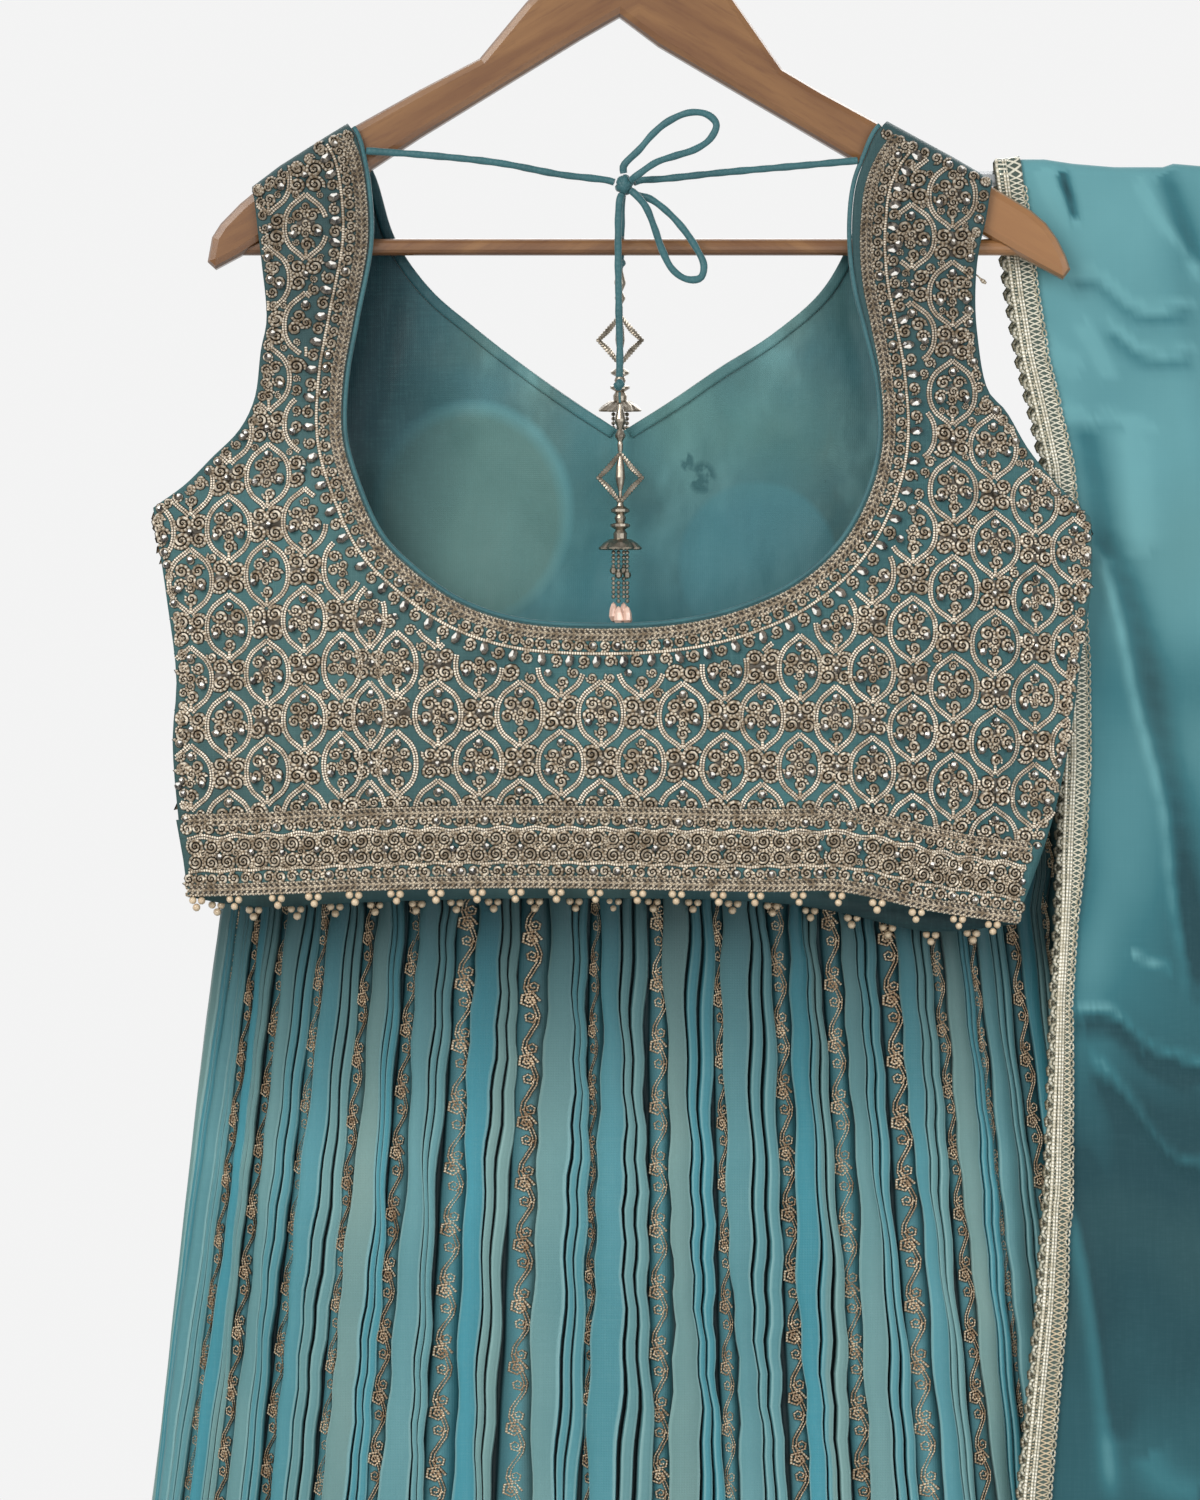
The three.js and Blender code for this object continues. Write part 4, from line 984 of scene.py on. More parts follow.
def diamond_mesh():
    """The open diamond: a beaded bar round four sides, 22 beads and gaps to a side."""
    corners = np.array([[0, 0, FRAME_TALL], [FRAME_WIDE, 0, 0], [0, 0, -FRAME_TALL], [-FRAME_WIDE, 0, 0]])
    outline = np.array([
        corners[k] * (1 - t) + corners[(k + 1) % 4] * t for k in range(4) for t in np.linspace(0, 1, 23)[:-1]])
    inward = -unit(outline)
    section = [[0, -1.0], [-0.35, 0], [0, 1.0], [1.5, 1.3], [3.0, 1.0], [3.3, 0], [3.0, -1.0], [1.5, -1.3]]
    bead = np.where(np.arange(len(outline)) % 2, 1.0, 0.68)[:, None]
    grid = np.stack([
        outline + inward * (1.5 + (a - 1.5) * bead) + np.array([0, 1, 0]) * b * bead for a, b in section], 1)
    return metal_mesh("diamond", np.concatenate([grid, grid[:1]]) + np.array([0, 0, FRAME_Z]))


def cap_mesh():
    """The flower cap of eight petals over the strands."""
    angles = np.linspace(0, 2 * np.pi, 49)[:-1]
    petals = 11.6 + 1.6 * np.abs(np.sin(4 * angles)) - 1.4
    rings = []
    for share, drop, raise_up in CAP_RINGS:
        r = petals * share if share > 0.3 else 3.4 + 0 * petals
        z = drop + raise_up * np.cos(8 * angles)
        rings.append(np.stack([r * np.cos(angles), r * np.sin(angles), z], -1))
    return metal_mesh("cap", np.array(rings))


def tassel_meshes():
    """Antique metal, turned head, diamond, stacked discs, cap and beaded strands, and the crystals below."""
    metal = [turned_mesh(key, rows, 12) for key, rows in TASSEL_METAL.items()]
    metal += [diamond_mesh(), cap_mesh()]
    crystals = []
    for i, (x, y) in enumerate(STRAND_SPOTS):
        longer = 2 * (i % 2)
        foot = -108 - longer
        z = -72.0
        while z > foot + 8:
            big = 1.8 if abs(z + 86 + longer) < 1.3 else 1.0
            bead = turned_mesh("bead", [[0, -1.2], [0.9, -0.7], [1.15, 0], [0.9, 0.7], [0, 1.2]], 6)
            metal.append(moved(bead, x, y, z, big))
            z -= 2.3 * big
        crystal = turned_mesh("crystal", [[0, -5.4], [1.3, -4.8], [2.6, -2.4], [2.1, 1.5], [1.2, 4], [0, 5]], 7)
        crystals.append(moved(crystal, x, y, foot + 1))
    return metal, crystals


def tassel(name, x, y, z, lean, cad_node):
    """A tassel hung from a point, leaning towards the viewer by an angle."""
    for suffix, meshes, finish in zip(("metal", "crystals"), tassel_meshes(), (SILVER, CRYSTAL)):
        for mesh in meshes:
            mesh.materials.append(finish)
        piece = joined_piece(f"{name}_{suffix}", meshes)
        for vertex in piece.data.vertices:
            px, py, pz = vertex.co
            turned_y = py * math.cos(lean) - pz * math.sin(lean)
            turned_z = py * math.sin(lean) + pz * math.cos(lean)
            vertex.co = (px + x * MM, turned_y + y * MM, turned_z + z * MM)
        piece.data.update()
        placed(piece, "bead_metal", cad_node)


tassel("tassel_lower", -9.6, -12, -309, 0, "tassel_lower")
tassel("tassel_upper", -9.6, 6.8, -236.6, 0.1, "tassel_upper")
KNOT_BANDS = [[0.35, 0.2, 1.0], [1.35, 0.1, 1.0], [-0.6, 0.5, 0.9], [2.2, -0.4, 0.95], [0.9, 1.2, 0.75]]
knot = placed(bound_knot("neck_knot", KNOT, KNOT_R - 1.1, KNOT_BANDS), "cord_cloth", "dori_knot")
end_knot = placed(bound_knot("cord_end_knot", (-10.2, -12, -299.4), (1.9, 1.9, 2.4), [
    [0.3, 0.1, 1.0], [1.2, 0.4, 0.9]]), "cord_cloth", "dori_end_knot")
upper_end_knot = placed(bound_knot("upper_cord_end_knot", (-9.5, 6.8, -235.4), (1.8, 1.8, 2.2), [
    [0.4, 0.2, 1.0], [1.3, 0.3, 0.9]]), "cord_cloth")
thread_points = Line([[-9.9, -12, -303.1], [-9.9, -12, -305.8], [-9.7, -12, -308.5]]).at(np.linspace(0, 1, 8))
thread = placed(linked("tassel_loop", tube_mesh("tassel_loop", thread_points, 0.65, 0.65, 6), TIE),
                "cord_cloth", "tassel_thread")


def tie_cord(name):
    """A sewn cloth tube, a little flat, that follows its route and swells and narrows a little along it."""
    line = Line(DORI[name])
    count = int(line.length / 1.6)
    path = line.at(np.linspace(0, 1, count))
    wave = 1 + 0.05 * np.sin(np.arange(count) * 0.9) + 0.04 * np.sin(np.arange(count) * 0.37)
    piece = linked(name + "_tie", tube_mesh(name, path, DORI_R * 1.02 * wave, DORI_R * 0.78 * wave), TIE)
    placed(piece, "cord_cloth", name)
    return piece, line, path


CARRIED = {"dori_left": [knot], "dori_tail_front": [end_knot, thread], "dori_tail_back": [upper_end_knot]}
for name in DORI:
    piece, line, path = tie_cord(name)
    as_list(CARRIED.get(name, []))

# The wooden hanger and the wires keep the solids' shapes
KEPT = {"hanger_body": WOOD, "hanger_bar": WOOD, "hanger_hook": STEEL, "scarf_hanger": STEEL}
for cad_node, finish in KEPT.items():
    for held in frame["nodes"][cad_node].material_slots:
        held.material = finish

# The blouse's outlines, as rows of [x, z] seen from the viewer's side
ARM_UPPER = [
    [-222.3, -235.4], [-220, -222.7], [-215.5, -215.6], [-205.4, -205.3], [-199.7, -200.6], [-184.7, -189.2],
    [-161, -174.2], [-148, -166.3], [-113, -146.7], [-82, -130.5], [-58, -101.5], [-40, -83.5], [-20, -73],
    [0, -72], [20, -73], [37, -83.5], [50, -101.5], [74, -136], [93.4, -147.5], [125, -164.7],
    [162.5, -185.2], [187, -199.6], [194, -203.7], [202, -208.6], [210, -215.5], [215.7, -223.4],
    [220.2, -232.3],
]
BACK_NECK = [
    [-150, -167], [-143.5, -180], [-139.8, -200], [-139, -226], [-146, -265], [-151.5, -297],
    [-152, -325], [-146, -348], [-133, -377], [-118, -393], [-93, -411], [-62, -421.5], [-12, -424.5],
    [26, -421.5], [55, -414], [82, -401], [104, -381], [118, -356], [124.5, -330], [123.5, -298],
    [117.5, -271], [112, -248], [109.5, -220], [112, -195], [119, -178], [128, -166],
]
BACK_ARMHOLE_LEFT = [
    [-199, -200], [-196.5, -216], [-194, -236], [-191.5, -266], [-194.5, -281], [-198, -306],
    [-206, -322], [-220, -336], [-234, -350], [-250.5, -362],
]
FRONT_ARMHOLE_LEFT = [
    [-199, -200], [-195, -216], [-188, -236], [-176, -266], [-171, -290], [-171, -305],
    [-175, -322], [-186, -339], [-206, -352], [-250.5, -362],
]
BACK_ARMHOLE_RIGHT = [
    [182, -196], [179, -212], [174.5, -232], [173, -252], [174, -272], [180, -302],
    [189, -312], [201, -332], [216, -350], [233, -367],
]
FRONT_ARMHOLE_RIGHT = [
    [182, -196], [177, -212], [168, -232], [159, -256], [154, -285], [155, -302],
    [159, -320], [172, -338], [196, -354], [233, -367],
]
SIDE_LEFT = [[-250.5, -362], [-243.5, -409], [-238.5, -451], [-240.5, -482], [-237.5, -522], [-232.5, -563]]
SIDE_RIGHT = [[233, -367], [234, -397], [228, -440], [222, -484], [212, -528], [194.5, -577]]
BACK_HEM = [
    [-232.5, -563], [-200, -562], [-142, -559.5], [-60, -558], [66, -560], [103, -560], [150, -570],
    [194.5, -577]]
FRONT_HEM = [
    [-232.5, -563], [-200, -568], [-142, -566], [-60, -564], [66, -566], [103, -571], [150, -581],
    [194.5, -577]]
FRONT_NECK_LEFT = [
    [-150, -167], [-137, -188], [-126, -222], [-108, -248], [-85, -268], [-58, -289], [-33, -307],
    [-9, -323]]
FRONT_NECK_RIGHT = [
    [-9, -323], [16, -307], [42, -289], [70, -271], [94, -250], [108, -226], [119, -190], [128, -166]]
NECK_SHARE = [0, 0.253, 0.359, 0.648, 0.744, 1]
FRONT_SHARE = [0, 0.34, 0.42, 0.58, 0.66, 1]
NEAR_SHOULDER = [0, 0.9, 2.4, 4.6, 7.5, 13, 22]
EDGE_DEPTH = [[-362, SEAM_Y], [-235, STRAP_Y], [0, STRAP_Y]]
BACK_DEPTH = [[-580, 17], [-430, BACK_SWELL], [-300, 15], [-225, STRAP_Y], [0, STRAP_Y]]
FRONT_DEPTH = [[-580, FRONT_SWELL], [-300, 10], [-225, STRAP_Y], [0, STRAP_Y]]
CUPS = [-86, 70]
CUP_Z = -372

# Soft creases pressed into each panel: from x, z to x, z, then how wide and how deep
BACK_CREASES = [
    [-205, -380, -188, -545, 9, 2.2], [-150, -440, -146, -520, 6, -3.0], [-172, -420, -165, -520, 10, 1.6],
    [118, -430, 112, -525, 7, -2.6], [150, -400, 158, -560, 11, 2.4], [190, -380, 178, -540, 10, -2.2],
    [-60, -440, -72, -515, 14, 1.2], [30, -440, 38, -520, 15, -1.2], [-178, -230, -176, -330, 9, -1.5],
    [150, -230, 150, -300, 9, -1.5], [-225, -400, -215, -540, 8, -1.8], [212, -400, 196, -540, 8, 1.6],
]
LINING_CREASES = [
    [-120, -300, -30, -420, 9, 2.6], [-95, -270, -70, -410, 10, -2.2], [60, -290, 20, -420, 9, 2.4],
    [92, -270, 96, -400, 8, -2.6], [-20, -335, -30, -420, 7, 2.0], [30, -320, 60, -415, 8, -2.0],
    [-130, -250, -140, -380, 8, 2.2], [112, -250, 118, -360, 7, 2.0], [-60, -310, -100, -330, 6, -1.6],
    [40, -310, 90, -318, 6, -1.6],
]


def pressed(creases, x, z):
    total = np.zeros(np.broadcast(x, z).shape)
    for x0, z0, x1, z1, wide, deep in creases:
        length = math.hypot(x1 - x0, z1 - z0)
        ux, uz = (x1 - x0) / length, (z1 - z0) / length
        run = (x - x0) * ux + (z - z0) * uz
        bend = 6 * np.sin(run / length * np.pi + x0)
        off = (x - x0) * uz - (z - z0) * ux + bend
        total = total + deep * hump(off, wide) * smooth((run + 12) / 30) * smooth((length + 12 - run) / 30)
    return total


def edge_at(rows, z):
    rows = np.array(rows, float)
    return np.interp(-z, -rows[:, 1], rows[:, 0])


def roll(x, z):
    """How far a strap has rolled off the arm, from 0 on top to 1."""
    drop = straight(ARM_UPPER, x) + STRAP_RISE - z
    return np.where(drop >= CURL, 1.0, np.sqrt(np.clip(1 - (1 - np.clip(drop / CURL, 0, 1)) ** 2, 0, 1)))


def panel_swell(x, z, arm_left, arm_right, middle_rows):
    """How far inside a panel's side edges a place lies, and how far the panel swells there."""
    left = edge_at(arm_left + SIDE_LEFT[1:], z)
    right = edge_at(arm_right + SIDE_RIGHT[1:], z)
    inside = np.maximum(0, np.minimum(x - left, right - x))
    edge, middle = along(EDGE_DEPTH, z), along(middle_rows, z)
    return inside, edge + (middle - edge) * smooth(inside / SWELL_REACH)


def back_depth(x, z):
    inside, swell = panel_swell(x, z, BACK_ARMHOLE_LEFT, BACK_ARMHOLE_RIGHT, BACK_DEPTH)
    return -np.maximum(swell * roll(x, z), GAP) + pressed(BACK_CREASES, x, z) * smooth(inside / 18)


def front_depth(x, z):
    inside, swell = panel_swell(x, z, FRONT_ARMHOLE_LEFT, FRONT_ARMHOLE_RIGHT, FRONT_DEPTH)
    cups = sum(7 * hump(x - at, 48) * hump(z - CUP_Z, 46) for at in CUPS)
    dip = 11 * hump(x + 9, 42) * smooth((z + 392) / 55)
    depth = (swell + cups - dip) * roll(x, z)
    depth = np.where((inside > 4) & (z < -240), depth, np.maximum(depth, GAP))
    return depth + pressed(LINING_CREASES, x, z) * smooth(inside / 18)


def surface_of(depth, side, out):
    """Points and outward leans on a panel at x, z; side is -1 where the outside faces the viewer."""
    def read(x, z):
        x, z = np.asarray(x, float), np.asarray(z, float)
        y = depth(x, z)
        slope_x = (depth(x + 0.6, z) - depth(x - 0.6, z)) / 1.2
        slope_z = (depth(x, z + 0.6) - depth(x, z - 0.6)) / 1.2
        lean = unit(np.stack([-side * slope_x, side * np.ones_like(x), -side * slope_z], -1))
        return np.stack([x, y, z], -1) + lean * out, lean
    return read


def stations(length, count, near):
    first = [d / length for d in near] or [0]
    return np.concatenate([first, np.linspace(first[-1], 1, count + 1)[1:]])


COLUMN_STEPS = 5             # columns to each station along a panel's edges
PANEL_LAYERS = 32            # layers from the neckline to the outer edge


def refined(values):
    last = len(values) - 1
    return np.interp(np.linspace(0, last, last * COLUMN_STEPS + 1), range(last + 1), values)


def panel_grid(necks, sections, shares, depth):
    """A panel between its neckline and its outer edge, in columns from shoulder to shoulder."""
    lines = [Line(rows) for rows in necks]
    neck_length = sum(line.length for line in lines)

    def neck_at(share):
        if len(lines) == 1:
            return lines[0].at(share)
        low, high = lines[0].at(share * 2), lines[1].at(share * 2 - 1)
        return np.where((share < 0.5)[:, None], low, high)

    inner, outer, drops = [], [], []
    for k, (rows, count, end) in enumerate(sections):
        line = Line(rows)
        span = shares[k + 1] - shares[k]
        near = NEAR_SHOULDER if end else []
        a, b = stations(line.length, count, near), stations(neck_length * span, count, near)
        drop = np.array([*near, *[30] * (count if near else count + 1)], float)
        if end == "last":
            a, b, drop = 1 - a[::-1], 1 - b[::-1], drop[::-1]
        a, b, drop = [refined(values)[1 if k else 0 :] for values in (a, b, drop)]
        inner.append(neck_at(shares[k] + span * b))
        outer.append(line.at(a))
        drops.append(drop)
    inner, outer, drops = np.vstack(inner), np.vstack(outer), np.concatenate(drops)
    t = np.linspace(0, 1, PANEL_LAYERS + 1)[None, :, None]
    grid = inner[:, None] * (1 - t) + outer[:, None] * t
    held = straight(ARM_UPPER, grid[..., 0]) + STRAP_RISE - drops[:, None]
    grid[..., 2] = held + (grid[..., 2] - held) * smooth((drops[:, None] - 6) / 16)
    grid[..., 1] = depth(grid[..., 0], grid[..., 2])
    return grid


def panel_sections(arm_left, arm_right, hem):
    return [
        (arm_left, 7, "first"), (SIDE_LEFT, 4, ""), (hem, 13, ""),
        (SIDE_RIGHT[::-1], 4, ""), (arm_right[::-1], 7, "last"),
    ]


back_grid = panel_grid([BACK_NECK], panel_sections(BACK_ARMHOLE_LEFT, BACK_ARMHOLE_RIGHT, BACK_HEM),
                       NECK_SHARE, back_depth)
front_grid = panel_grid([FRONT_NECK_LEFT, FRONT_NECK_RIGHT],
                        panel_sections(FRONT_ARMHOLE_LEFT, FRONT_ARMHOLE_RIGHT, FRONT_HEM), FRONT_SHARE, front_depth)
blouse_back = linked("blouse_back_cloth", cloth_mesh("blouse_back_cloth", back_grid, flip=True), CREPE, LINING)
thickened(blouse_back, CLOTH, inner=True)
blouse_front = linked("blouse_front_cloth", cloth_mesh("blouse_front_cloth", front_grid), CREPE, LINING)
thickened(blouse_front, CLOTH, inner=True)
placed(blouse_back, "embroidered_cloth", "blouse_back")
placed(blouse_front, "lining_cloth", "blouse_front")


def band_grid(hem, surface):
    """A hem band's middle surface, a strip between the hem and a line above it, and its lower line."""
    lower = Line([[x + (0 if i else 1), z + 1] for i, (x, z) in enumerate(hem)])
    slant = {0: -6, len(hem) - 1: 14}
    upper = Line([[x + slant.get(i, 0), z + BAND] for i, (x, z) in enumerate(hem)])
    shares = np.linspace(0, 1, 131)
    t = np.linspace(0, 1, 13)[None, :, None]
    flat = upper.at(shares)[:, None] * (1 - t) + lower.at(shares)[:, None] * t
    return surface(flat[..., 0], flat[..., 2])[0], lower


back_out = surface_of(back_depth, -1, CLOTH / 2)
front_out = surface_of(front_depth, 1, CLOTH / 2)
back_band_grid, back_low = band_grid(BACK_HEM, surface_of(back_depth, -1, ON_BAND))
front_band_grid, front_low = band_grid(FRONT_HEM, surface_of(front_depth, 1, ON_BAND))
back_band = linked("back_band_cloth", cloth_mesh("back_band_cloth", back_band_grid, flip=True), CREPE)
front_band = linked("front_band_cloth", cloth_mesh("front_band_cloth", front_band_grid), CREPE)
for band, cad_node in ((back_band, "blouse_back_band"), (front_band, "blouse_front_band")):
    thickened(band, 1.0)
    placed(band, "embroidered_cloth", cad_node)


# The embroidery
def lattice_place(i, row):
    """Where a place of the ogee lattice falls on the back panel."""
    x = straight(OGEE_X, i)
    return x, OGEE_ROW_Z + OGEE_STEP * row + straight(OGEE_SHIFT, i)


def inside_of(outline, x, z):
    """Whether points lie inside a closed outline of [x, z]."""
    inside = np.zeros(np.shape(x), bool)
    for (x0, z0), (x1, z1) in zip(outline, np.roll(outline, -1, axis=0)):
        crosses = (z0 > z) != (z1 > z)
        at = x0 + (z - z0) / np.where(z1 == z0, 1e-9, z1 - z0) * (x1 - x0)
        inside ^= crosses & (x < at)
    return inside


def clear_of(line, x, z):
    """The distance of points from a line in the x, z plane."""
    x, z = np.atleast_1d(x), np.atleast_1d(z)
    p = line.points[::4][:, [0, 2]]
    return np.sqrt(((np.stack([x, z], -1)[:, None] - p[None]) ** 2).sum(-1)).min(1)


OGEE_WIDE = 41.8             # the ogees' step across, where they have their full width
OGEE_SIDE = [
    [0, 16.4], [3.2, 13.8], [7.8, 10.4], [11, 5.2], [11.8, -0.6], [11, -6.2], [8, -11.2], [3.4, -14.6],
    [0.6, -17.4],
]
# Flower inside an ogee: shape, x, z, size, how wide against its height
FLOWER = [
    ["small_coil", 0, 10.2, 0.95, 0.95], ["small_coil", -4.4, 4.7, 1.2, 1.12],
    ["small_coil", 3.9, 5.2, 1.2, 1.08],
    ["small_coil", 0.2, 0.6, 1.05, 1.0], ["small_coil", -5.9, -2.0, 1.22, 1.05],
    ["small_coil", 5.9, -1.3, 1.22, 1.05],
    ["small_coil", 0, -4.0, 0.95, 1.0], ["small_coil", 0.5, -9.6, 1.2, 1.0],
]
FLOWER_STONES = [[-6.6, -4.6, 1.0], [6.9, -3.6, 1.0], [0, 10.6, 0.9]]
# The four coils where ogees meet
KNOB = [[-4.5, 4.2], [4.5, 4.2], [-4.5, -4.2], [4.5, -4.2]]


def free_stretches(points, free):
    """The runs of points that are free."""
    stretch = []
    for point, ok in zip(points, free):
        if ok:
            stretch.append(point)
            continue
        yield stretch
        stretch = []
    yield stretch


def embroider_ogee(work, x, z, wide, allowed, free):
    """One ogee: its two sides, the stem below, and the flower in it."""
    for side in (-1, 1):
        line = Line([[x + side * ox * wide, z + oz] for ox, oz in OGEE_SIDE])
        points = line.at(np.linspace(0, 1, 10 if work.kind else 14))[:, [0, 2]]
        for stretch in free_stretches(points, allowed(points[:, 0], points[:, 1], 1.8)):
            work.line("double", stretch)
    if free(x, z - 13.6, 1.0):
        work.line("single", [[x, z - 11.5], [x + 0.2, z - 14], [x, z - 16.5]])
    # A dark flat bed of painted shade under the flower
    if free(x, z, 9.0) and not work.kind:
        work.spot("bed", x, z + 1.2, 0.2, 0.8)
    for shape, ox, oz, size, oval in FLOWER:
        px, pz = x + ox * wide, z + oz
        if free(px, pz, 3.6):
            jitter = chance.uniform(-0.45, 0.45, 2)
            spin = chance.uniform(-0.5, 0.5) + np.pi * chance.integers(2)
            size = size * wide**0.5 * chance.uniform(0.94, 1.08)
            work.spot(shape, px + jitter[0], pz + jitter[1], spin, size, oval)
    for ox, oz, size in FLOWER_STONES:
        px, pz = x + ox * wide, z + oz
        if free(px, pz, 3.0) and chance.random() < 0.85:
            work.stone(px, pz, size, 1.05, 1.0)


def embroider_cluster(work, x, z, wide, free):
    """Four coils and a stone where ogees meet."""
    # A dark flat bed of painted shade under the cluster
    if free(x, z, 11.0) and not work.kind:
        work.spot("bed", x, z, 0.2, 1.1, 1.1)
    for ox, oz in KNOB:
        px, pz = x + ox * wide + chance.uniform(-0.5, 0.5), z + oz + chance.uniform(-0.4, 0.4)
        if free(px, pz, 4.6):
            spin = 0.35 * np.sign(ox * oz) + np.pi * chance.integers(2)
            work.spot("coil", px, pz, spin, 1.14 * wide**0.5 * chance.uniform(0.94, 1.06), 1.12)
    if free(x, z, 2.5):
        work.stone(x + chance.uniform(-1, 1), z + chance.uniform(-1, 1), 0.8, 1.0, 1.2)


def embroider_lattice(work, place, rows, columns, allowed):
    """Ogees and the clusters between them, kept to where the panel is free."""
    def free(x, z, room):
        return allowed(np.array([x]), np.array([z]), room)[0]

    for row in rows:
        for k in columns:
            i = k + (0.5 if row % 2 else 0.0)
            wide = (place(i + 0.5, row)[0] - place(i - 0.5, row)[0]) / OGEE_WIDE
            embroider_ogee(work, *place(i, row), wide, allowed, free)
            embroider_cluster(work, *place(i + 0.5, row), wide, free)


def offset_line(line, shares, out):
    """Points beside a line in the x, z plane, moved to its right hand seen from the viewer."""
    points, ahead = line.at(shares), line.heading(shares)
    across = np.stack([ahead[:, 2], -ahead[:, 0]], -1)
    out = np.broadcast_to(out, np.shape(shares))[:, None]
    return points[:, [0, 2]] + across * out, np.arctan2(ahead[:, 2], ahead[:, 0])


def shares_along(line, pitch, from_share, to_share, wider):
    """Shares of a line at a pitch, and how much further out the rows lie there."""
    shares = np.linspace(from_share, to_share, int(line.length * (to_share - from_share) / pitch))
    return shares, straight(wider, shares) if wider else 0.0


def braid(work, line, out, from_share=0.0, to_share=1.0, wider=None):
    """Two rows of slanting stitch loops that meet in a groove."""
    shares, more = shares_along(line, 2.9, from_share, to_share, wider)
    # A dark flat strip of painted shade in the braid's groove
    work.line("bed", offset_line(line, shares, out + more)[0])
    for side in (-1, 1):
        spots, angles = offset_line(line, shares, out + side * 1.4 + more)
        for (x, z), angle in zip(spots, angles):
            work.spot("loop", x, z, angle + side * 0.55)


def coil_row(work, line, out, pitch, size, from_share=0.0, to_share=1.0, stones=0.0, every=None, wider=None):
    """Small coils beside a line, with a share of stones on them, or with a stone as every second one."""
    shares, more = shares_along(line, pitch, from_share, to_share, wider)
    spots, angles = offset_line(line, shares, out + more)
    for k, ((x, z), angle) in enumerate(zip(spots, angles)):
        if every and k % 2:
            work.spot("stone", x, z, angle + np.pi / 2 + chance.uniform(-0.4, 0.4), every, 1.5, 0.2)
            continue
        work.spot("small_coil", x, z, chance.uniform(0, 6), size * chance.uniform(0.93, 1.05))
        if chance.random() < stones:
            work.stone(x + chance.uniform(-0.5, 0.5), z, 0.85, 1.0, 1.0)


def edge_cord(work, line, out, profile, from_share=0.0, to_share=1.0, wave=0.0, wider=None):
    """A laid cord beside a line, which may swing out and in once for each repeat of the band."""
    shares, more = shares_along(line, 3.2, from_share, to_share, wider)
    swing = wave * np.cos(shares * line.length / BAND_REPEAT * 2 * np.pi)
    work.line(profile, offset_line(line, shares, out + swing + more)[0])


BAND_REPEAT = 17.0
# One repeat of the band's middle row: x, z, shape, size
BAND_FLOWER = [
    [-4.2, 4.2, "big_coil", 1.06], [4.2, 4.1, "big_coil", 1.02], [-4.2, -4.1, "big_coil", 1.04],
    [4.2, -4.2, "big_coil", 1.06], [0, 0.2, "small_coil", 0.9],
]


def embroider_band(work, line):
    """The hem band's rows, from the hem up."""
    braid(work, line, -2.6)
    coil_row(work, line, -8.4, 6.0, 1.14, stones=0.14)
    edge_cord(work, line, -12.4, "single", wave=0.5)
    count = int(line.length / BAND_REPEAT)
    shares = (np.arange(count) + 0.5) / count
    spots, angles = offset_line(line, shares, -21)
    for (x, z), angle in zip(spots, angles):
        for ox, oz, shape, size in BAND_FLOWER:
            px, pz = x + ox * math.cos(angle), z + oz + ox * math.sin(angle)
            work.spot(shape, px, pz, chance.uniform(0, 6), size)
        work.stone(x + 8.3, z + chance.uniform(-1, 1), 0.85, 1.0, 0.8)
        for oz in (-6.4, 6.4):
            work.spot("small_coil", x + 8.4, z + oz, chance.uniform(0, 6), 0.72)
    edge_cord(work, line, -29.6, "double", wave=0.9)
    coil_row(work, line, -34.4, 6.0, 1.12, stones=0.16)
    braid(work, line, -38.6)


def embroider_edge(work, line, from_share, to_share, wider=None):
    """The neck border from the edge inwards: braid, coils, a cord, then stones and coils by turns."""
    ends = {"from_share": from_share, "to_share": to_share, "wider": wider}
    braid(work, line, 3.6, **ends)
    coil_row(work, line, 9.4, 6.2, 1.12, stones=0.16, **ends)
    edge_cord(work, line, 13.2, "single", **ends)
    coil_row(work, line, 17.2, 6.6, 1.18, every=1.12, **ends)


def sewn_pieces(name, work):
    """The pieces of one panel's sewn work: coils, loops and cords, then stones."""
    meshes = [work.shape_mesh(shape, THREAD) for shape in work.spots if shape != "stone"]
    meshes += [work.cord_mesh(profile, THREAD) for profile in work.lines]
    cords = joined_piece(name + "_cords", meshes)
    stones = linked(name + "_stones", work.shape_mesh("stone", STONE))
    return [placed(piece, "embroidered_cloth") for piece in (cords, stones)]


BORDER = 20.0                # width of the worked border along the neckline


def free_ground(neck_rows, neck_lines, arm_left, arm_right, hem):
    """A panel's outline, its side edges, and a test of which places lie clear of its edges by some room."""
    outline = np.array([
        *neck_rows[::-1], *arm_left, *SIDE_LEFT[1:], *hem[1:], *SIDE_RIGHT[::-1][1:],
        *arm_right[::-1][1:]], float)
    edges = [Line([*arm_left, *SIDE_LEFT[1:]]), Line([*arm_right, *SIDE_RIGHT[1:]])]

    def allowed(x, z, room):
        ok = inside_of(outline, x, z) & (z < straight(ARM_UPPER, x) + STRAP_RISE - 4.5 - 0.6 * room)
        for line in neck_lines:
            ok &= clear_of(line, x, z) > BORDER + room
        for edge in edges:
            ok &= clear_of(edge, x, z) > room
        return ok & (z > straight(hem, x) + BAND + 0.6 * room)

    return outline, edges, allowed


def embroider_sides(work, edges, necks):
    """Coils along the armholes, side edges and shoulders, where the lattice is cut."""
    for edge, side, neck in zip(edges, (-1, 1), necks):
        coil_row(work, edge, side * 3.9, 6.4, 1.0, 0.0, 0.93, stones=0.2)
        top = edge.points[0][[0, 2]]
        shoulder = Line([neck, [top[0], top[1] + 3]] if side < 0 else [[top[0], top[1] + 3], neck])
        coil_row(work, shoulder, -4.0, 6.0, 1.05, 0.04, 0.97, stones=0.3)


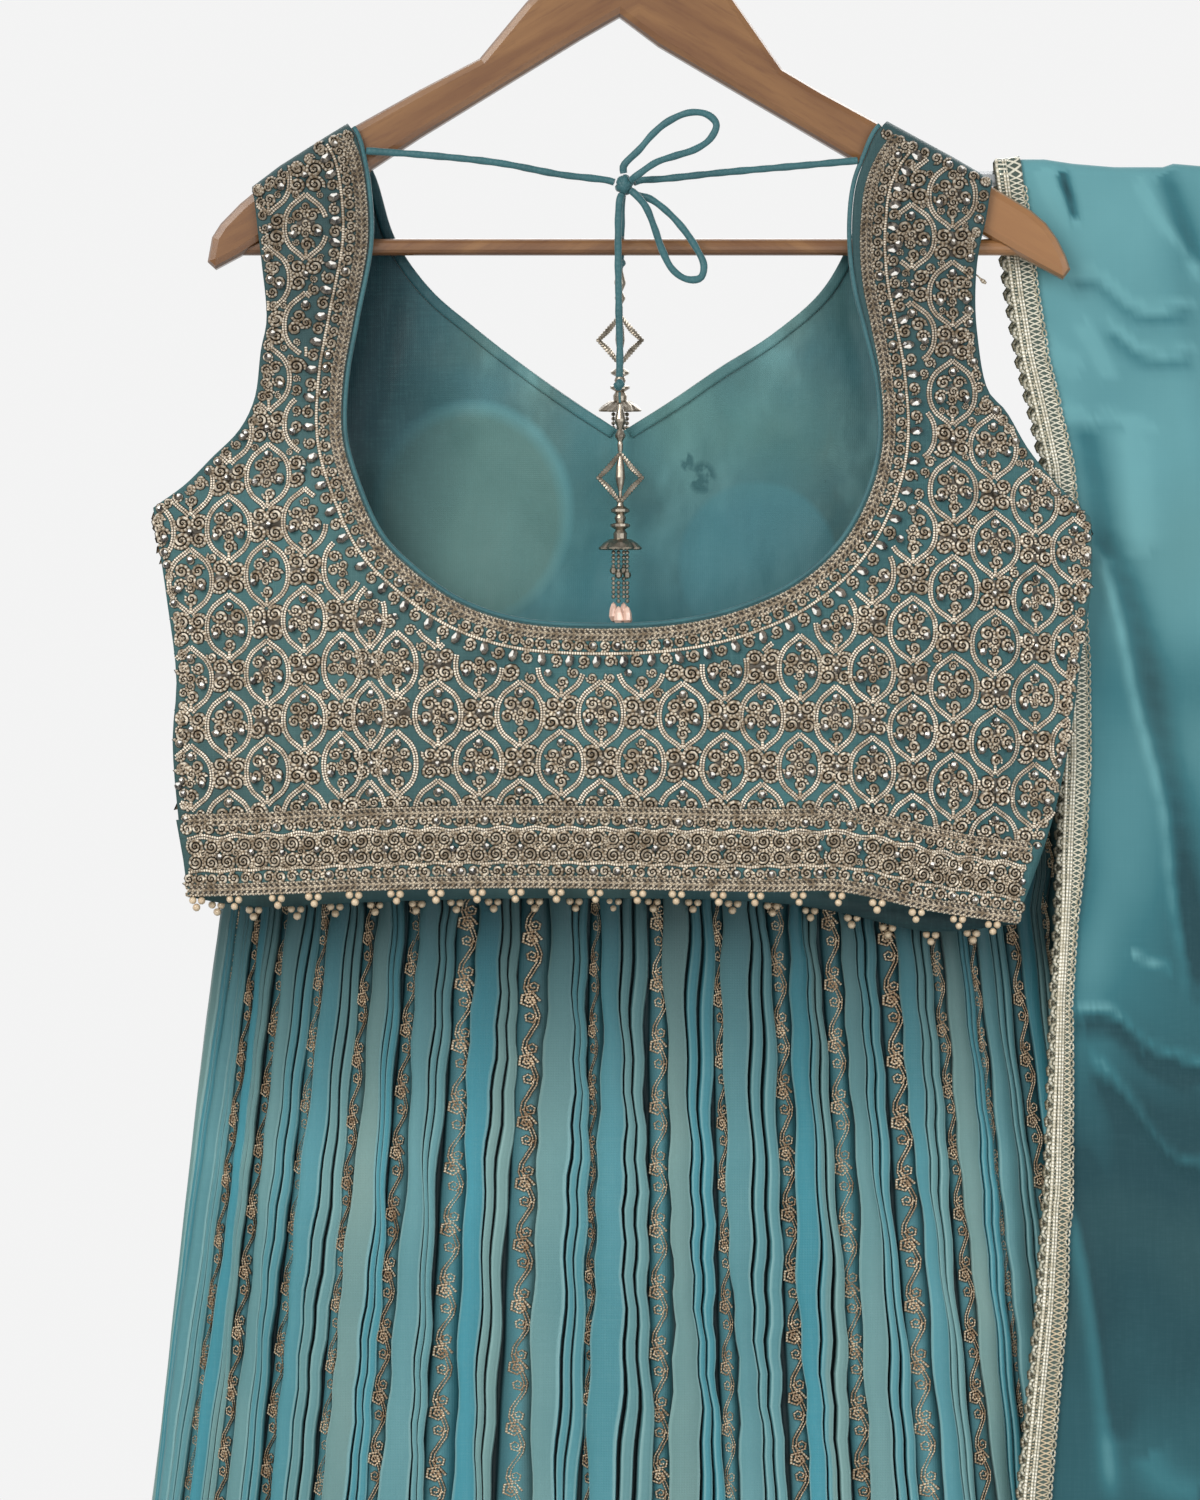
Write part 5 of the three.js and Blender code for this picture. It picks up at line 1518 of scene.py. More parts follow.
def fill_gaps(work, allowed, outline, coil_room, line_room, size, lowest):
    """Small coils above a height, wherever the borders cut the lattice and leave bare ground."""
    coils = [row[:2] for shape, rows in work.spots.items() if "coil" in shape for row in rows]
    others = [row[:2] for row in work.spots.get("stone", [])]
    others += [point for rows in work.lines.values() for xz in rows for point in xz]
    trees = []
    for points in (coils, others):
        tree = KDTree(len(points))
        for k, (x, z) in enumerate(points):
            tree.insert((x, 0, z), k)
        tree.balance()
        trees.append(tree)
    low, high = outline.min(0), outline.max(0)
    x, z = np.meshgrid(np.arange(low[0], high[0], 3.1), np.arange(low[1], high[1], 2.7))
    x, z = x.ravel(), z.ravel()
    free = allowed(x, z, 2.9) & (z > lowest)
    placed_at = np.full((1, 2), FAR)
    for px, pz in zip(x[free], z[free]):
        if trees[0].find((px, 0, pz))[2] < coil_room or trees[1].find((px, 0, pz))[2] < line_room:
            continue
        if np.hypot(*(placed_at - [px, pz]).T).min() < coil_room - 0.2:
            continue
        placed_at = np.vstack([placed_at, [px, pz]])
        work.spot("small_coil", px, pz, chance.uniform(0, 6), size * chance.uniform(0.92, 1.05))


neck_line = Line(BACK_NECK)
back_outline, back_edges, back_free = free_ground(
    BACK_NECK, [neck_line], BACK_ARMHOLE_LEFT, BACK_ARMHOLE_RIGHT, BACK_HEM)
RIGHT_FACING = [             # plain cloth left beside the right strap's edge, by share along the neckline
    [0, 0], [0.8, 0], [0.86, 2.2], [0.93, 4.2], [1, 4.2],
]
back_work = Work(back_out)
embroider_sides(back_work, back_edges, (BACK_NECK[0], BACK_NECK[-1]))
embroider_lattice(back_work, lattice_place, range(-1, 15), range(-7, 7), back_free)
embroider_edge(back_work, neck_line, 0.004, 0.996, RIGHT_FACING)
fill_gaps(back_work, back_free, back_outline, 6.4, 3.8, 1.0, -FAR)
fill_gaps(back_work, back_free, back_outline, 4.9, 2.9, 0.72, -340)
back_sewn = sewn_pieces("back_work", back_work)
band_work = Work(surface_of(back_depth, -1, ON_BAND + 0.5))
embroider_band(band_work, back_low)
band_sewn = sewn_pieces("back_band_work", band_work)


# The front's outer side, worked in the same way
def front_place(i, row):
    return -9 + OGEE_WIDE * i, -497 + OGEE_STEP * row


front_necks = [Line(FRONT_NECK_LEFT), Line(FRONT_NECK_RIGHT)]
front_outline, front_edges, front_free = free_ground(
    [*FRONT_NECK_LEFT, *FRONT_NECK_RIGHT[1:]],
    front_necks, FRONT_ARMHOLE_LEFT, FRONT_ARMHOLE_RIGHT, FRONT_HEM)
front_work = Work(front_out, "_plain")
embroider_sides(front_work, front_edges, (FRONT_NECK_LEFT[0], FRONT_NECK_RIGHT[-1]))
embroider_lattice(front_work, front_place, range(-1, 14), range(-6, 7), front_free)
embroider_edge(front_work, front_necks[0], 0.02, 0.94)
embroider_edge(front_work, front_necks[1], 0.06, 0.98)
fill_gaps(front_work, front_free, front_outline, 6.6, 4.0, 1.0, -FAR)
front_sewn = sewn_pieces("front_work", front_work)
front_band_work = Work(surface_of(front_depth, 1, ON_BAND + 0.5), "_plain")
embroider_band(front_band_work, front_low)
front_band_sewn = sewn_pieces("front_band_work", front_band_work)

PEARL_STEP = 20.6
PEARL_DROP = 2.6


def hem_pearls(name, line, surface, first):
    """Pearls in threes along a hem."""
    work = Work(surface)
    for k in range(21):
        share = (first + PEARL_STEP * k) / line.length
        if share > 0.99:
            break
        x, _, z = line.at(np.array([share]))[0]
        x += chance.uniform(-1, 1)
        low_x = chance.uniform(-0.5, 0.7)
        for ox, oz in ((-2.3, -PEARL_DROP), (2.4, -PEARL_DROP - 0.2), (low_x, -PEARL_DROP - 3.7)):
            work.spot("pearl", x + ox, z + oz, chance.uniform(0, 6), chance.uniform(0.88, 1.0))
    piece = linked(name, work.shape_mesh("pearl", PEARL))
    piece.data.shade_smooth()
    return placed(piece, "bead_metal")


back_pearls = hem_pearls("back_hem_pearls", back_low, surface_of(back_depth, -1, ON_BAND), 4)
front_pearls = hem_pearls("front_hem_pearls", front_low, surface_of(front_depth, 1, ON_BAND), 13)


# The neck piping, and the turned facing inside the front's neckline
def neck_piping():
    bare = 3 * COLUMN_STEPS
    edge = back_grid[bare:-bare, 0]
    ahead = unit(np.gradient(edge, axis=0))
    inwards = unit(np.stack([-ahead[:, 2], 0 * ahead[:, 0], ahead[:, 0]], -1))
    path = Line((edge + inwards * (PIPING_R + 0.2))[::2].tolist()).at(np.linspace(0, 1, 360))
    return linked("neck_piping_cloth", tube_mesh("neck_piping_cloth", path, PIPING_R, PIPING_R, 8), TIE)


placed(neck_piping(), "cord_cloth", "neck_piping")


def facing(name, rows, cad_node):
    """The strip turned under inside the neckline, with its sewn edges pressed down."""
    line = Line(rows)
    falls = rows[0][1] > rows[-1][1]
    shares = np.linspace(0.06, 0.985, 90)
    shares = shares if falls else 1 - shares
    points, ahead = line.at(shares), line.heading(shares)
    down = np.stack([ahead[:, 2], 0 * ahead[:, 0], -ahead[:, 0]], -1)
    down = np.where(down[:, 2:3] > 0, -down, down)
    inside = surface_of(front_depth, -1, 0.0)
    ranks = []
    for d, lift in ((0.3, 0.75), (0.6, 1.5), (1.4, 1.75), (2.6, 1.55), (3.8, 1.75), (4.9, 1.6), (FACING, 0.8)):
        flat = points + down * d
        place, lean = inside(flat[:, 0], flat[:, 2])
        pucker = 0.16 * np.sin(np.arange(len(shares)) * 1.9) * (1 if 1 < d < 5 else 0.3)
        ranks.append(place + lean * (lift + pucker)[:, None])
    grid = np.stack(ranks, 1)
    mesh = cloth_mesh(name, grid, flip=not falls)
    piece = linked(name, mesh, LINING)
    thickened(piece, 0.7)
    return placed(piece, "lining_cloth", cad_node)


facing_left = facing("facing_left_cloth", FRONT_NECK_LEFT, "neck_facing_left")
facing_right = facing("facing_right_cloth", FRONT_NECK_RIGHT, "neck_facing_right")

# The skirt
SKIRT_HALF = [[-1485, 335], [-874, 253], [-567, 212], [-548, 216], [-515, 212], [-480, 198], [-430, 190]]
SKIRT_DEEP = [[-1485, 62], [-874, 42], [-567, 26], [-430, 17]]
SKIRT_BACK = [[-1485, 98], [-874, 72], [-567, 51], [-430, 46]]
PLEAT_TABLE = [              # where a pleat begins along the panel, and the share of it that the vine band takes
    [0.000, 0.22], [0.052, 0.20], [0.100, 0.42], [0.152, 0.36], [0.209, 0.30], [0.262, 0.30], [0.305, 0.32],
    [0.349, 0.40], [0.402, 0.44], [0.459, 0.18], [0.504, 0.30], [0.552, 0.22], [0.598, 0.34], [0.642, 0.34],
    [0.691, 0.42], [0.741, 0.34], [0.788, 0.18], [0.842, 0.34], [0.918, 0.40],
]
# A pleat's section: its place on the band (0 to 1) or past it (1 to 2), its height, and how lit it is: low for the
# painted near-black shade in the valleys, above 1 for the painted highlight on the fold edges
PLEAT_SECTION = [
    [0.00, 0.00, 0.0], [0.10, 0.30, 0.4], [0.50, 0.38, 0.7], [0.90, 0.30, 0.4], [1.00, 0.00, 0.0],
    [0.96, 0.35, 0.2], [0.94, 0.85, 1.1], [1.01, 1.00, 1.0], [1.20, 0.97, 0.9], [1.40, 0.90, 1.0],
    [1.45, 0.80, 1.15], [1.46, 0.40, 0.2], [1.44, 0.02, 0.0], [1.52, 0.02, 0.0], [1.53, 0.45, 0.3],
    [1.55, 0.80, 1.1], [1.62, 0.84, 0.9], [1.67, 0.74, 1.1], [1.68, 0.35, 0.2], [1.67, 0.02, 0.0],
    [1.74, 0.02, 0.0], [1.75, 0.45, 0.3], [1.78, 0.72, 1.1], [1.87, 0.74, 0.9], [1.94, 0.62, 1.1],
    [1.96, 0.25, 0.2], [1.95, 0.00, 0.0],
]


CRINKLE_Z = -890            # above this height the pleats' edges are crinkled


def skirt_base(share, z, front):
    angle = np.pi * (1 - share)
    wave = 7 * smooth((WAIST_Z - z) / 900) * np.sin(share * np.pi * 9) * np.sin(angle)
    half, deep = straight(SKIRT_HALF, z), straight(SKIRT_DEEP, z)
    y = straight(SKIRT_BACK, z) + front * (GAP + deep * np.sin(angle) + wave)
    return np.stack([SKIRT_X + half * np.cos(angle), y, z + 0 * angle], -1)


def skirt_surface(share, z, front, height):
    """Points of a skirt panel raised by a height, and their leans."""
    share, z = np.broadcast_arrays(share, z)
    right = skirt_base(share + 0.002, z, front) - skirt_base(share - 0.002, z, front)
    up = skirt_base(share, z + 2, front) - skirt_base(share, z - 2, front)
    lean = unit(np.cross(right, up)) * (-1 if front > 0 else 1)
    return skirt_base(share, z, front) + lean * np.asarray(height)[..., None], lean


def skirt_panel(name, front, cad_node, close, wide):
    """A pleated panel; close and wide are how many levels it has above and below CRINKLE_Z."""
    top = WAIST_Z - WAISTBAND + 4
    levels = np.concatenate([[top], np.linspace(top - 60, CRINKLE_Z, close), np.linspace(CRINKLE_Z, HEM_Z, wide)[1:]])
    columns, heights, shades, depths = [], [], [], []
    for i, (start, band) in enumerate(PLEAT_TABLE):
        end = PLEAT_TABLE[i + 1][0] if i + 1 < len(PLEAT_TABLE) else 1.0
        shade = 0.1 + 0.9 * ((i * 7) % 5) / 4
        spread = chance.uniform(-0.09, 0.09)
        for place, height, depth in PLEAT_SECTION:
            place = place + spread * hump(place - 1.5, 0.22)
            t = place * band if place <= 1 else band + (place - 1) * (1 - band)
            bend = 0.0024 * np.sin(levels / 62 + i * 1.7 + 3.2 * place)
            bend = bend + 0.0011 * np.sin(levels / 21 + i + 4 * place)
            crinkle = np.sin(levels / 6.6 + 2.4 * np.sin(levels / 47 + i) + 1.3 * i + 2.2 * place)
            bend = bend + 0.0011 * crinkle * smooth((levels - CRINKLE_Z) / 60)
            columns.append(start + (end - start) * t + (bend if 0.9 < place < 1.97 else 0.3 * bend))
            tall = 1 + 0.25 * np.sin(levels / 90 + i * 2.1 + 2 * place)
            heights.append(PLEAT_RISE * height * tall * np.clip(0.45 + (WAIST_Z - levels) / 160, 0.45, 1))
            shades.append(np.full(len(levels), 0.75 if place < 0.9 else shade if place < 1.48 else 1 - 0.8 * shade))
            depths.append(np.full(len(levels), depth))
    share = np.clip(np.array(columns), 0.0005, 0.9995)
    grid, _ = skirt_surface(share, levels[None] + 0 * share, front, np.array(heights))
    mesh = cloth_mesh(name, grid, flip=front < 0, shade=np.array(shades), depth=np.array(depths))
    piece = linked(name, mesh, PLEAT)
    thickened(piece, 0.9)
    return placed(piece, "skirt_cloth", cad_node)


skirt_front = skirt_panel("skirt_front_cloth", -1, "skirt_front", 44, 12)
skirt_back = skirt_panel("skirt_back_cloth", 1, "skirt_back", 20, 12)


def vine_mesh(curl):
    """One repeat of the vine: a stem of two threads in an S, two curls and a small round flower."""
    strips = []

    def strip(points, wide):
        points = np.array(points, float)
        ahead = unit(np.gradient(points, axis=0))
        across = np.stack([-ahead[:, 1], ahead[:, 0]], -1)
        rows = [np.column_stack([points + across * s * wide, np.full(len(points), z)])
                for s, z in ((-1, -0.3), (0, 1.0), (1, -0.3))]
        run = np.concatenate([[0], np.cumsum(np.linalg.norm(np.diff(points, axis=0), axis=1))])
        strips.append((np.stack(rows, 1), run))

    t = np.linspace(0, 1, 8)
    for side in (-0.75, 0.75):
        strip(np.stack([2.9 * np.sin(2 * np.pi * t) + side, 32 * (t - 0.5)], -1), 0.52)
    for side, base in ((1, -8), (-1, 8)):
        a = np.linspace(0, 2.9 * np.pi, curl)
        r = 3.1 - 0.27 * a
        strip(np.stack([side * (-0.4 + r * np.cos(a)), base - 1.1 * r * np.sin(a)], -1), 0.7)
    a = np.linspace(0, 4.2 * np.pi, curl + 3)
    r = 4.1 + 0.5 * np.cos(5 * a) - 0.22 * a
    strip(np.stack([-1.2 + r * np.cos(a), 0.5 + r * np.sin(a)], -1), 0.85)
    points, faces, run, crest = [], [], [], []
    for grid, steps in strips:
        faces += (grid_faces(len(grid), 3) + len(points)).tolist()
        points += grid.reshape(-1, 3).tolist()
        run += np.repeat(steps, 3).tolist()
        crest += [0.0, 1.0, 0.0] * len(grid)
    return plain_mesh("vine", points, faces, run=run, crest=crest)


keep_shape("vine", vine_mesh(9))
keep_shape("vine_plain", vine_mesh(5))


def skirt_vines(name, front, shape):
    """The vine up each sewn band, one repeat after another."""
    points, leans, headings, sizes = [], [], [], []
    for i, (start, band) in enumerate(PLEAT_TABLE):
        end = PLEAT_TABLE[i + 1][0] if i + 1 < len(PLEAT_TABLE) else 1.0
        middle = start + (end - start) * band * 0.5
        z = np.arange(WAIST_Z - WAISTBAND - 12 - 8 * (i % 3), HEM_Z + 12, -32.0)
        share = np.full(len(z), max(middle, 0.012)) + 0.0007 * np.sin(z / 62 + i * 1.7)
        place, lean = skirt_surface(share, z, front, np.full(len(z), PLEAT_RISE * 0.42 + 0.3))
        above, _ = skirt_surface(share, z + 4, front, np.full(len(z), PLEAT_RISE * 0.42 + 0.3))
        up = unit(above - place)
        room = (end - start) * band * straight(SKIRT_HALF, z) * np.pi * np.sin(np.pi * np.clip(middle, 0.05, 0.95))
        wide = np.clip(room / 9.5, 0.6, 1.25)
        points.append(place)
        leans.append(lean)
        headings.append(np.cross(up, lean))
        sizes.append(np.stack([wide, np.ones(len(z)), np.ones(len(z))], -1))
    seed = plain_mesh(name, np.vstack(points), [], lean=np.vstack(leans), heading=np.vstack(headings),
                      size=np.vstack(sizes), tone=chance.random(sum(len(p) for p in points)))
    piece = linked(name, grown(name, seed, SEW, Shape=SHAPES[shape], Finish=VINE))
    return placed(piece, "skirt_cloth")


front_vines = skirt_vines("skirt_front_vines", -1, "vine")
back_vines = skirt_vines("skirt_back_vines", 1, "vine_plain")


def waistband():
    half = 100
    shares = np.concatenate([np.arange(half) / half, 1 - np.arange(half) / half])
    fronts = np.repeat([-1, 1], half)
    rows = []
    for drop, out in ((0, 0), (2, 0.5), (16, 0.2), (30, 0.5), (WAISTBAND, 0)):
        z, height = np.array([WAIST_Z - drop]), np.array([out])
        ring = [skirt_surface(np.array([s]), z, f, height)[0][0] for s, f in zip(shares, fronts)]
        rows.append(ring)
    grid = np.array(rows)
    count, width = grid.shape[:2]
    mesh = cloth_mesh("waistband_cloth", grid, ring=True, flip=True, shade=np.full((count, width), 0.4),
                      depth=np.ones((count, width)))
    piece = linked("waistband_cloth", mesh, PLEAT)
    thickened(piece, 2.0)
    return placed(piece, "skirt_cloth", "skirt_waistband")


skirt_band = waistband()

# Hanging ribbons
RIBBON = 7
RIBBON_WALL = 1
HANGER_THICK = 14


def ribbon(name, top_x, foot_x, cad_node):
    off = RIBBON_WALL / 2 + GAP + 0.05
    top = float(straight(ARM_UPPER, top_x)) + off
    leg = HANGER_THICK / 2 + off
    at = lambda t: top_x + (foot_x - top_x) * t
    rows = [
        [foot_x, 41.4, WAIST_Z - 20], [foot_x, 40.4, WAIST_Z + 4], [at(0.6), 21, -350], [at(0.3),
        11.6, -300],
        [at(0.15), 0, -266], [top_x, -leg, -240], [top_x, -leg, top - 16], [top_x, -leg, top - 4.6],
        [top_x, -6.4, top - 1.35], [top_x, -3.15, top], [top_x, 3.15, top], [top_x, 6.4, top - 1.35],
        [top_x, leg, top - 4.6], [top_x, leg, top - 16], [top_x, leg, -240], [at(0.15), 8.8, -266],
        [at(0.3), 13.6, -300], [at(0.6), 22.6, -350], [foot_x, 42, WAIST_Z + 4], [foot_x, 43, WAIST_Z - 20],
    ]
    line = Line(rows).points[::4]
    columns = []
    for side in np.linspace(-RIBBON / 2, RIBBON / 2, 5):
        slant = straight(ARM_UPPER, line[:, 0] + side) - straight(ARM_UPPER, line[:, 0])
        slant = slant * smooth((line[:, 2] - top + 60) / 40)
        columns.append(line + np.stack([side + 0 * slant, 0 * slant, slant], -1))
    grid = np.stack(columns, 1)
    run = np.repeat(np.arange(len(line))[:, None] * 2.0, 5, 1)
    crest = np.tile([0.2, 1, 1, 1, 0.2], (len(line), 1))
    piece = linked(name, cloth_mesh(name, grid, run=run, crest=crest), TIE)
    thickened(piece, RIBBON_WALL)
    return placed(piece, "cord_cloth", cad_node)


ribbon("ribbon_left_cloth", -186, -168, "hanging_ribbon_left")
ribbon("ribbon_right_cloth", 164, 168, "hanging_ribbon_right")

# The scarf: a long piece folded lengthwise, laid over a rod
SCARF_LEFT = [
    [-1400, 190], [-872, 205], [-830, 209], [-777, 214], [-717, 217.5], [-666, 219], [-615, 220],
    [-554, 223.5],
    [-492, 226], [-440, 225.5], [-400, 223], [-339, 217], [-310, 210.5], [-283, 204], [-250, 198.5],
    [-181, 190],
]
SCARF_RIGHT = [[-1400, 500], [-900, 492], [-400, 480], [-181, 474]]
SCARF_TOP = [                # share across, and how far the fold stands off the rod
    [0, 2.5], [0.03, 4], [0.075, 4], [0.125, 1.8], [0.2, 0], [0.29, 0], [0.31, 1.8], [0.37, 0.3], [0.5, 1.2],
    [0.62, 0.2], [0.75, 1.6], [1, 0.4],
]
SCARF_FOLDS = [              # place across, reach, depth, and how much of it is left at the foot
    [0.27, 0.05, -5, 0.4], [0.36, 0.06, 4, 0.5], [0.6, 0.05, 5, 0.8], [0.66, 0.04, -5, 0.6],
    [0.85, 0.06, 4, 1],
]
# Creases on the scarf: how wide, how far they stand out, how light (painted light above 0, painted shade below), then
# a row of [x, z] points
SCARF_CREASES = [
    [2.2, 1.3, 0.5, [[222, -243], [235, -239], [245, -246], [257, -256], [268, -258], [290, -254]]],
    [4.0, -1.0, -0.2, [[222, -248], [235, -245], [245, -252], [257, -262], [268, -264], [290, -260]]],
    [2.0, 1.3, 0.5, [[242, -264], [251, -271], [261, -279], [271, -281], [290, -279]]],
    [4.5, -1.0, -0.2, [[242, -269], [251, -277], [261, -285], [271, -287], [290, -285]]],
    [3.0, -2.4, -0.8, [[219, -186], [222, -196], [227, -214]]],
    [4.5, 1.4, 0.3, [[209, -184], [216, -200], [229, -216]]],
    [3.0, 1.5, 0.3, [[258, -188], [264, -200], [272, -214], [286, -232], [292, -246]]],
    [6.5, -1.6, -0.32, [[272, -186], [279, -204], [290, -236]]],
    [5.0, 1.2, 0.22, [[207, -270], [216, -282], [231, -290]]],
    [4.0, 1.0, 0.25, [[229, -264], [236, -276], [246, -296]]],
    [3.0, 0.9, 0.25, [[214, -308], [226, -311], [236, -317]]],
    [2.6, 0.9, 0.25, [[219, -314], [235, -317], [241, -313], [257, -316], [270, -322]]],
    [8.0, -2.0, -0.3, [[230, -312], [235, -335], [240, -362], [243, -392]]],
    [9.0, 1.8, 0.2, [[255, -316], [259, -350], [262, -388]]],
    [3.4, 2.2, 0.35, [[232, -372], [242, -396], [250, -424], [258, -462], [266, -492], [273, -521],
    [277, -562],
                      [282, -594], [285, -622]]],
    [8.0, -2.4, -0.4, [[241, -372], [252, -396], [262, -430], [270, -470], [277, -505], [284, -560],
    [292, -622]]],
    [2.2, 0.9, 0.4, [[254, -592], [266, -597], [278, -601]]],
    [3.0, 1.8, 0.42, [[222, -621], [244, -622], [267, -641], [289, -648], [310, -652]]],
    [6.0, -1.8, -0.5, [[224, -630], [246, -630], [268, -648], [290, -657], [312, -660]]],
    [3.0, 1.2, 0.28, [[253, -638], [271, -650], [290, -661], [312, -668]]],
    [3.4, 1.9, 0.42, [[233, -642], [252, -664], [277, -697], [292, -702], [312, -706]]],
    [7.0, -1.8, -0.35, [[236, -652], [254, -674], [279, -708], [312, -716]]],
    [8.0, -2.2, -0.4, [[224, -690], [236, -730], [244, -780], [248, -850]]],
    [5.0, 2.4, 0.42, [[221, -716], [231, -760], [240, -820], [246, -880]]],
    [9.0, 1.8, 0.25, [[262, -850], [272, -866], [292, -874]]],
    [12, 2.0, 0.2, [[300, -250], [330, -420], [360, -700], [380, -1100]]],
    [12, -2.0, -0.25, [[330, -230], [360, -420], [400, -700], [430, -1200]]],
    [14, 2.2, 0.2, [[420, -260], [430, -500], [450, -900], [460, -1300]]],
]
# Broad places of painted light and painted shade: x, z, reach across, reach up, how light
SCARF_PAINTED_PATCHES = [
    [250, -215, 60, 40, 0.12], [285, -225, 16, 40, -0.15], [222, -300, 16, 50, 0.1],
    [285, -330, 30, 60, 0.12],
    [290, -430, 26, 60, 0.1], [240, -470, 18, 60, -0.1], [285, -452, 40, 26, -0.22],
    [292, -560, 22, 50, -0.22],
    [250, -540, 18, 60, 0.08], [229, -560, 9, 40, -0.25], [233, -595, 12, 30, 0.22],
    [270, -690, 50, 30, -0.15],
    [270, -760, 50, 70, -0.22], [240, -700, 10, 40, 0.1], [276, -865, 40, 30, 0.12],
    [290, -950, 60, 80, -0.15],
    [400, -500, 60, 200, -0.1], [420, -900, 60, 200, 0.05],
]
SCARF_ROUND = ROD_R + 0.5 + SCARF_WALL / 2
SCARF_HALF_TURN = math.pi * SCARF_ROUND / 2


def painted_scarf_shade(x, z):
    """The painted light and shade laid on the scarf, from 0 for dark to 1 for light."""
    # Painted light towards the top and painted shade towards the foot
    tone = 0.68 + 0.08 * smooth((z + 460) / 220) - 0.46 * smooth((-500 - z) / 220)
    for cx, cz, wide, tall, light in SCARF_PAINTED_PATCHES:
        tone = tone + light * hump(x - cx, wide) * hump(z - cz, tall)
    for wide, _, light, rows in SCARF_CREASES:
        tone = tone + light * crease_at(rows, x, z, wide)
    return np.clip(0.66 + 1.2 * (tone - 0.64), 0, 1)


def crease_at(rows, x, z, wide):
    """1 on a crease that runs through rows of [x, z], and 0 away from it."""
    line = Line(rows)
    points = line.at(np.linspace(0, 1, int(line.length / max(wide, 4)) + 4))[:, [0, 2]]
    near, share = np.full(np.shape(x), 1e6), np.zeros(np.shape(x))
    for k, (px, pz) in enumerate(points):
        away = (x - px) ** 2 + (z - pz) ** 2
        share = np.where(away < near, k / (len(points) - 1), share)
        near = np.minimum(near, away)
    return np.exp(-near / wide**2) * smooth(0.15 + np.minimum(share, 1 - share) / 0.16)


def scarf_surface(t, length):
    """Points of the scarf: t across it, and length along it from the top, less than 0 in front."""
    t, length = np.broadcast_arrays(np.asarray(t, float), np.asarray(length, float))
    side = np.where(length < 0, -1.0, 1.0)
    drop = np.maximum(0, np.abs(length) - SCARF_HALF_TURN)
    angle = np.minimum(np.abs(length), SCARF_HALF_TURN) / SCARF_ROUND
    z = ROD_Z + (SCARF_ROUND + straight(SCARF_TOP, t)) * np.cos(angle) - drop
    x = straight(SCARF_LEFT, z) * (1 - t) + straight(SCARF_RIGHT, z) * t
    fall = np.clip(drop / SCARF_DROP, 0, 1)
    folds = sum(deep * hump(t - at + 0.05 * fall * side, wide) * (1 + (kept - 1) * fall)
                for at, wide, deep, kept in SCARF_FOLDS)
    fold = smooth((drop - 8) / 70) * (folds + 4 * fall * np.sin(t * 11 + side + 4 * fall))
    fine = sum(high * crease_at(rows, x, z, wide) for wide, high, _, rows in SCARF_CREASES)
    y = ROD_Y + side * SCARF_ROUND * np.sin(angle) + fold + side * fine * smooth((drop - 2) / 12)
    return np.stack([x, y, z], -1)


def scarf_lengths(front_count, back_count):
    over = np.linspace(-SCARF_HALF_TURN, SCARF_HALF_TURN, 15)
    close = np.linspace(0, 690, int(front_count * 0.86) + 1)[1:]
    front = np.concatenate([close, np.linspace(690, SCARF_DROP, front_count - len(close) + 1)[1:]])
    back = SCARF_DROP * np.linspace(0, 1, back_count + 1)[1:] ** 1.3
    return np.concatenate([-(SCARF_HALF_TURN + front)[::-1], over, SCARF_HALF_TURN + back])


def scarf_piece():
    lengths = scarf_lengths(174, 36)
    t = 0.4 * np.linspace(0, 1, 97) + 0.6 * np.linspace(0, 1, 97) ** 1.9
    grid = scarf_surface(t[None], lengths[:, None])
    tone = painted_scarf_shade(grid[..., 0], grid[..., 2])
    piece = linked("scarf_cloth", cloth_mesh("scarf_cloth", grid, flip=True, shade=tone), GEORGETTE)
    thickened(piece, 0.8)
    return placed(piece, "scarf_cloth", "scarf")


scarf = scarf_piece()

# The lace, in millimetres across from the scarf's edge, and how much of its width shows at a height
LACE_HALF = 9.0
LACE_SPREAD = [
    [-1400, 1], [-872, 1], [-777, 0.92], [-724, 0.85], [-670, 0.72], [-615, 0.55], [-575, 0.6], [-540, 0.9],
    [-500, 1], [-181, 1],
]


def lace_place(across, lengths, lift):
    """Points on the lace and their outward leans."""
    across, lengths = np.broadcast_arrays(np.asarray(across, float), np.asarray(lengths, float))
    drop = np.maximum(0, np.abs(lengths) - SCARF_HALF_TURN)
    t = across * straight(LACE_SPREAD, ROD_Z - drop) / 290
    right = scarf_surface(t + 0.004, lengths) - scarf_surface(t - 0.004, lengths)
    down = scarf_surface(t, lengths + 1.0) - scarf_surface(t, lengths - 1.0)
    lean = unit(np.cross(right, down))
    return scarf_surface(t, lengths) + lean * (SCARF_WALL / 2 + lift), lean


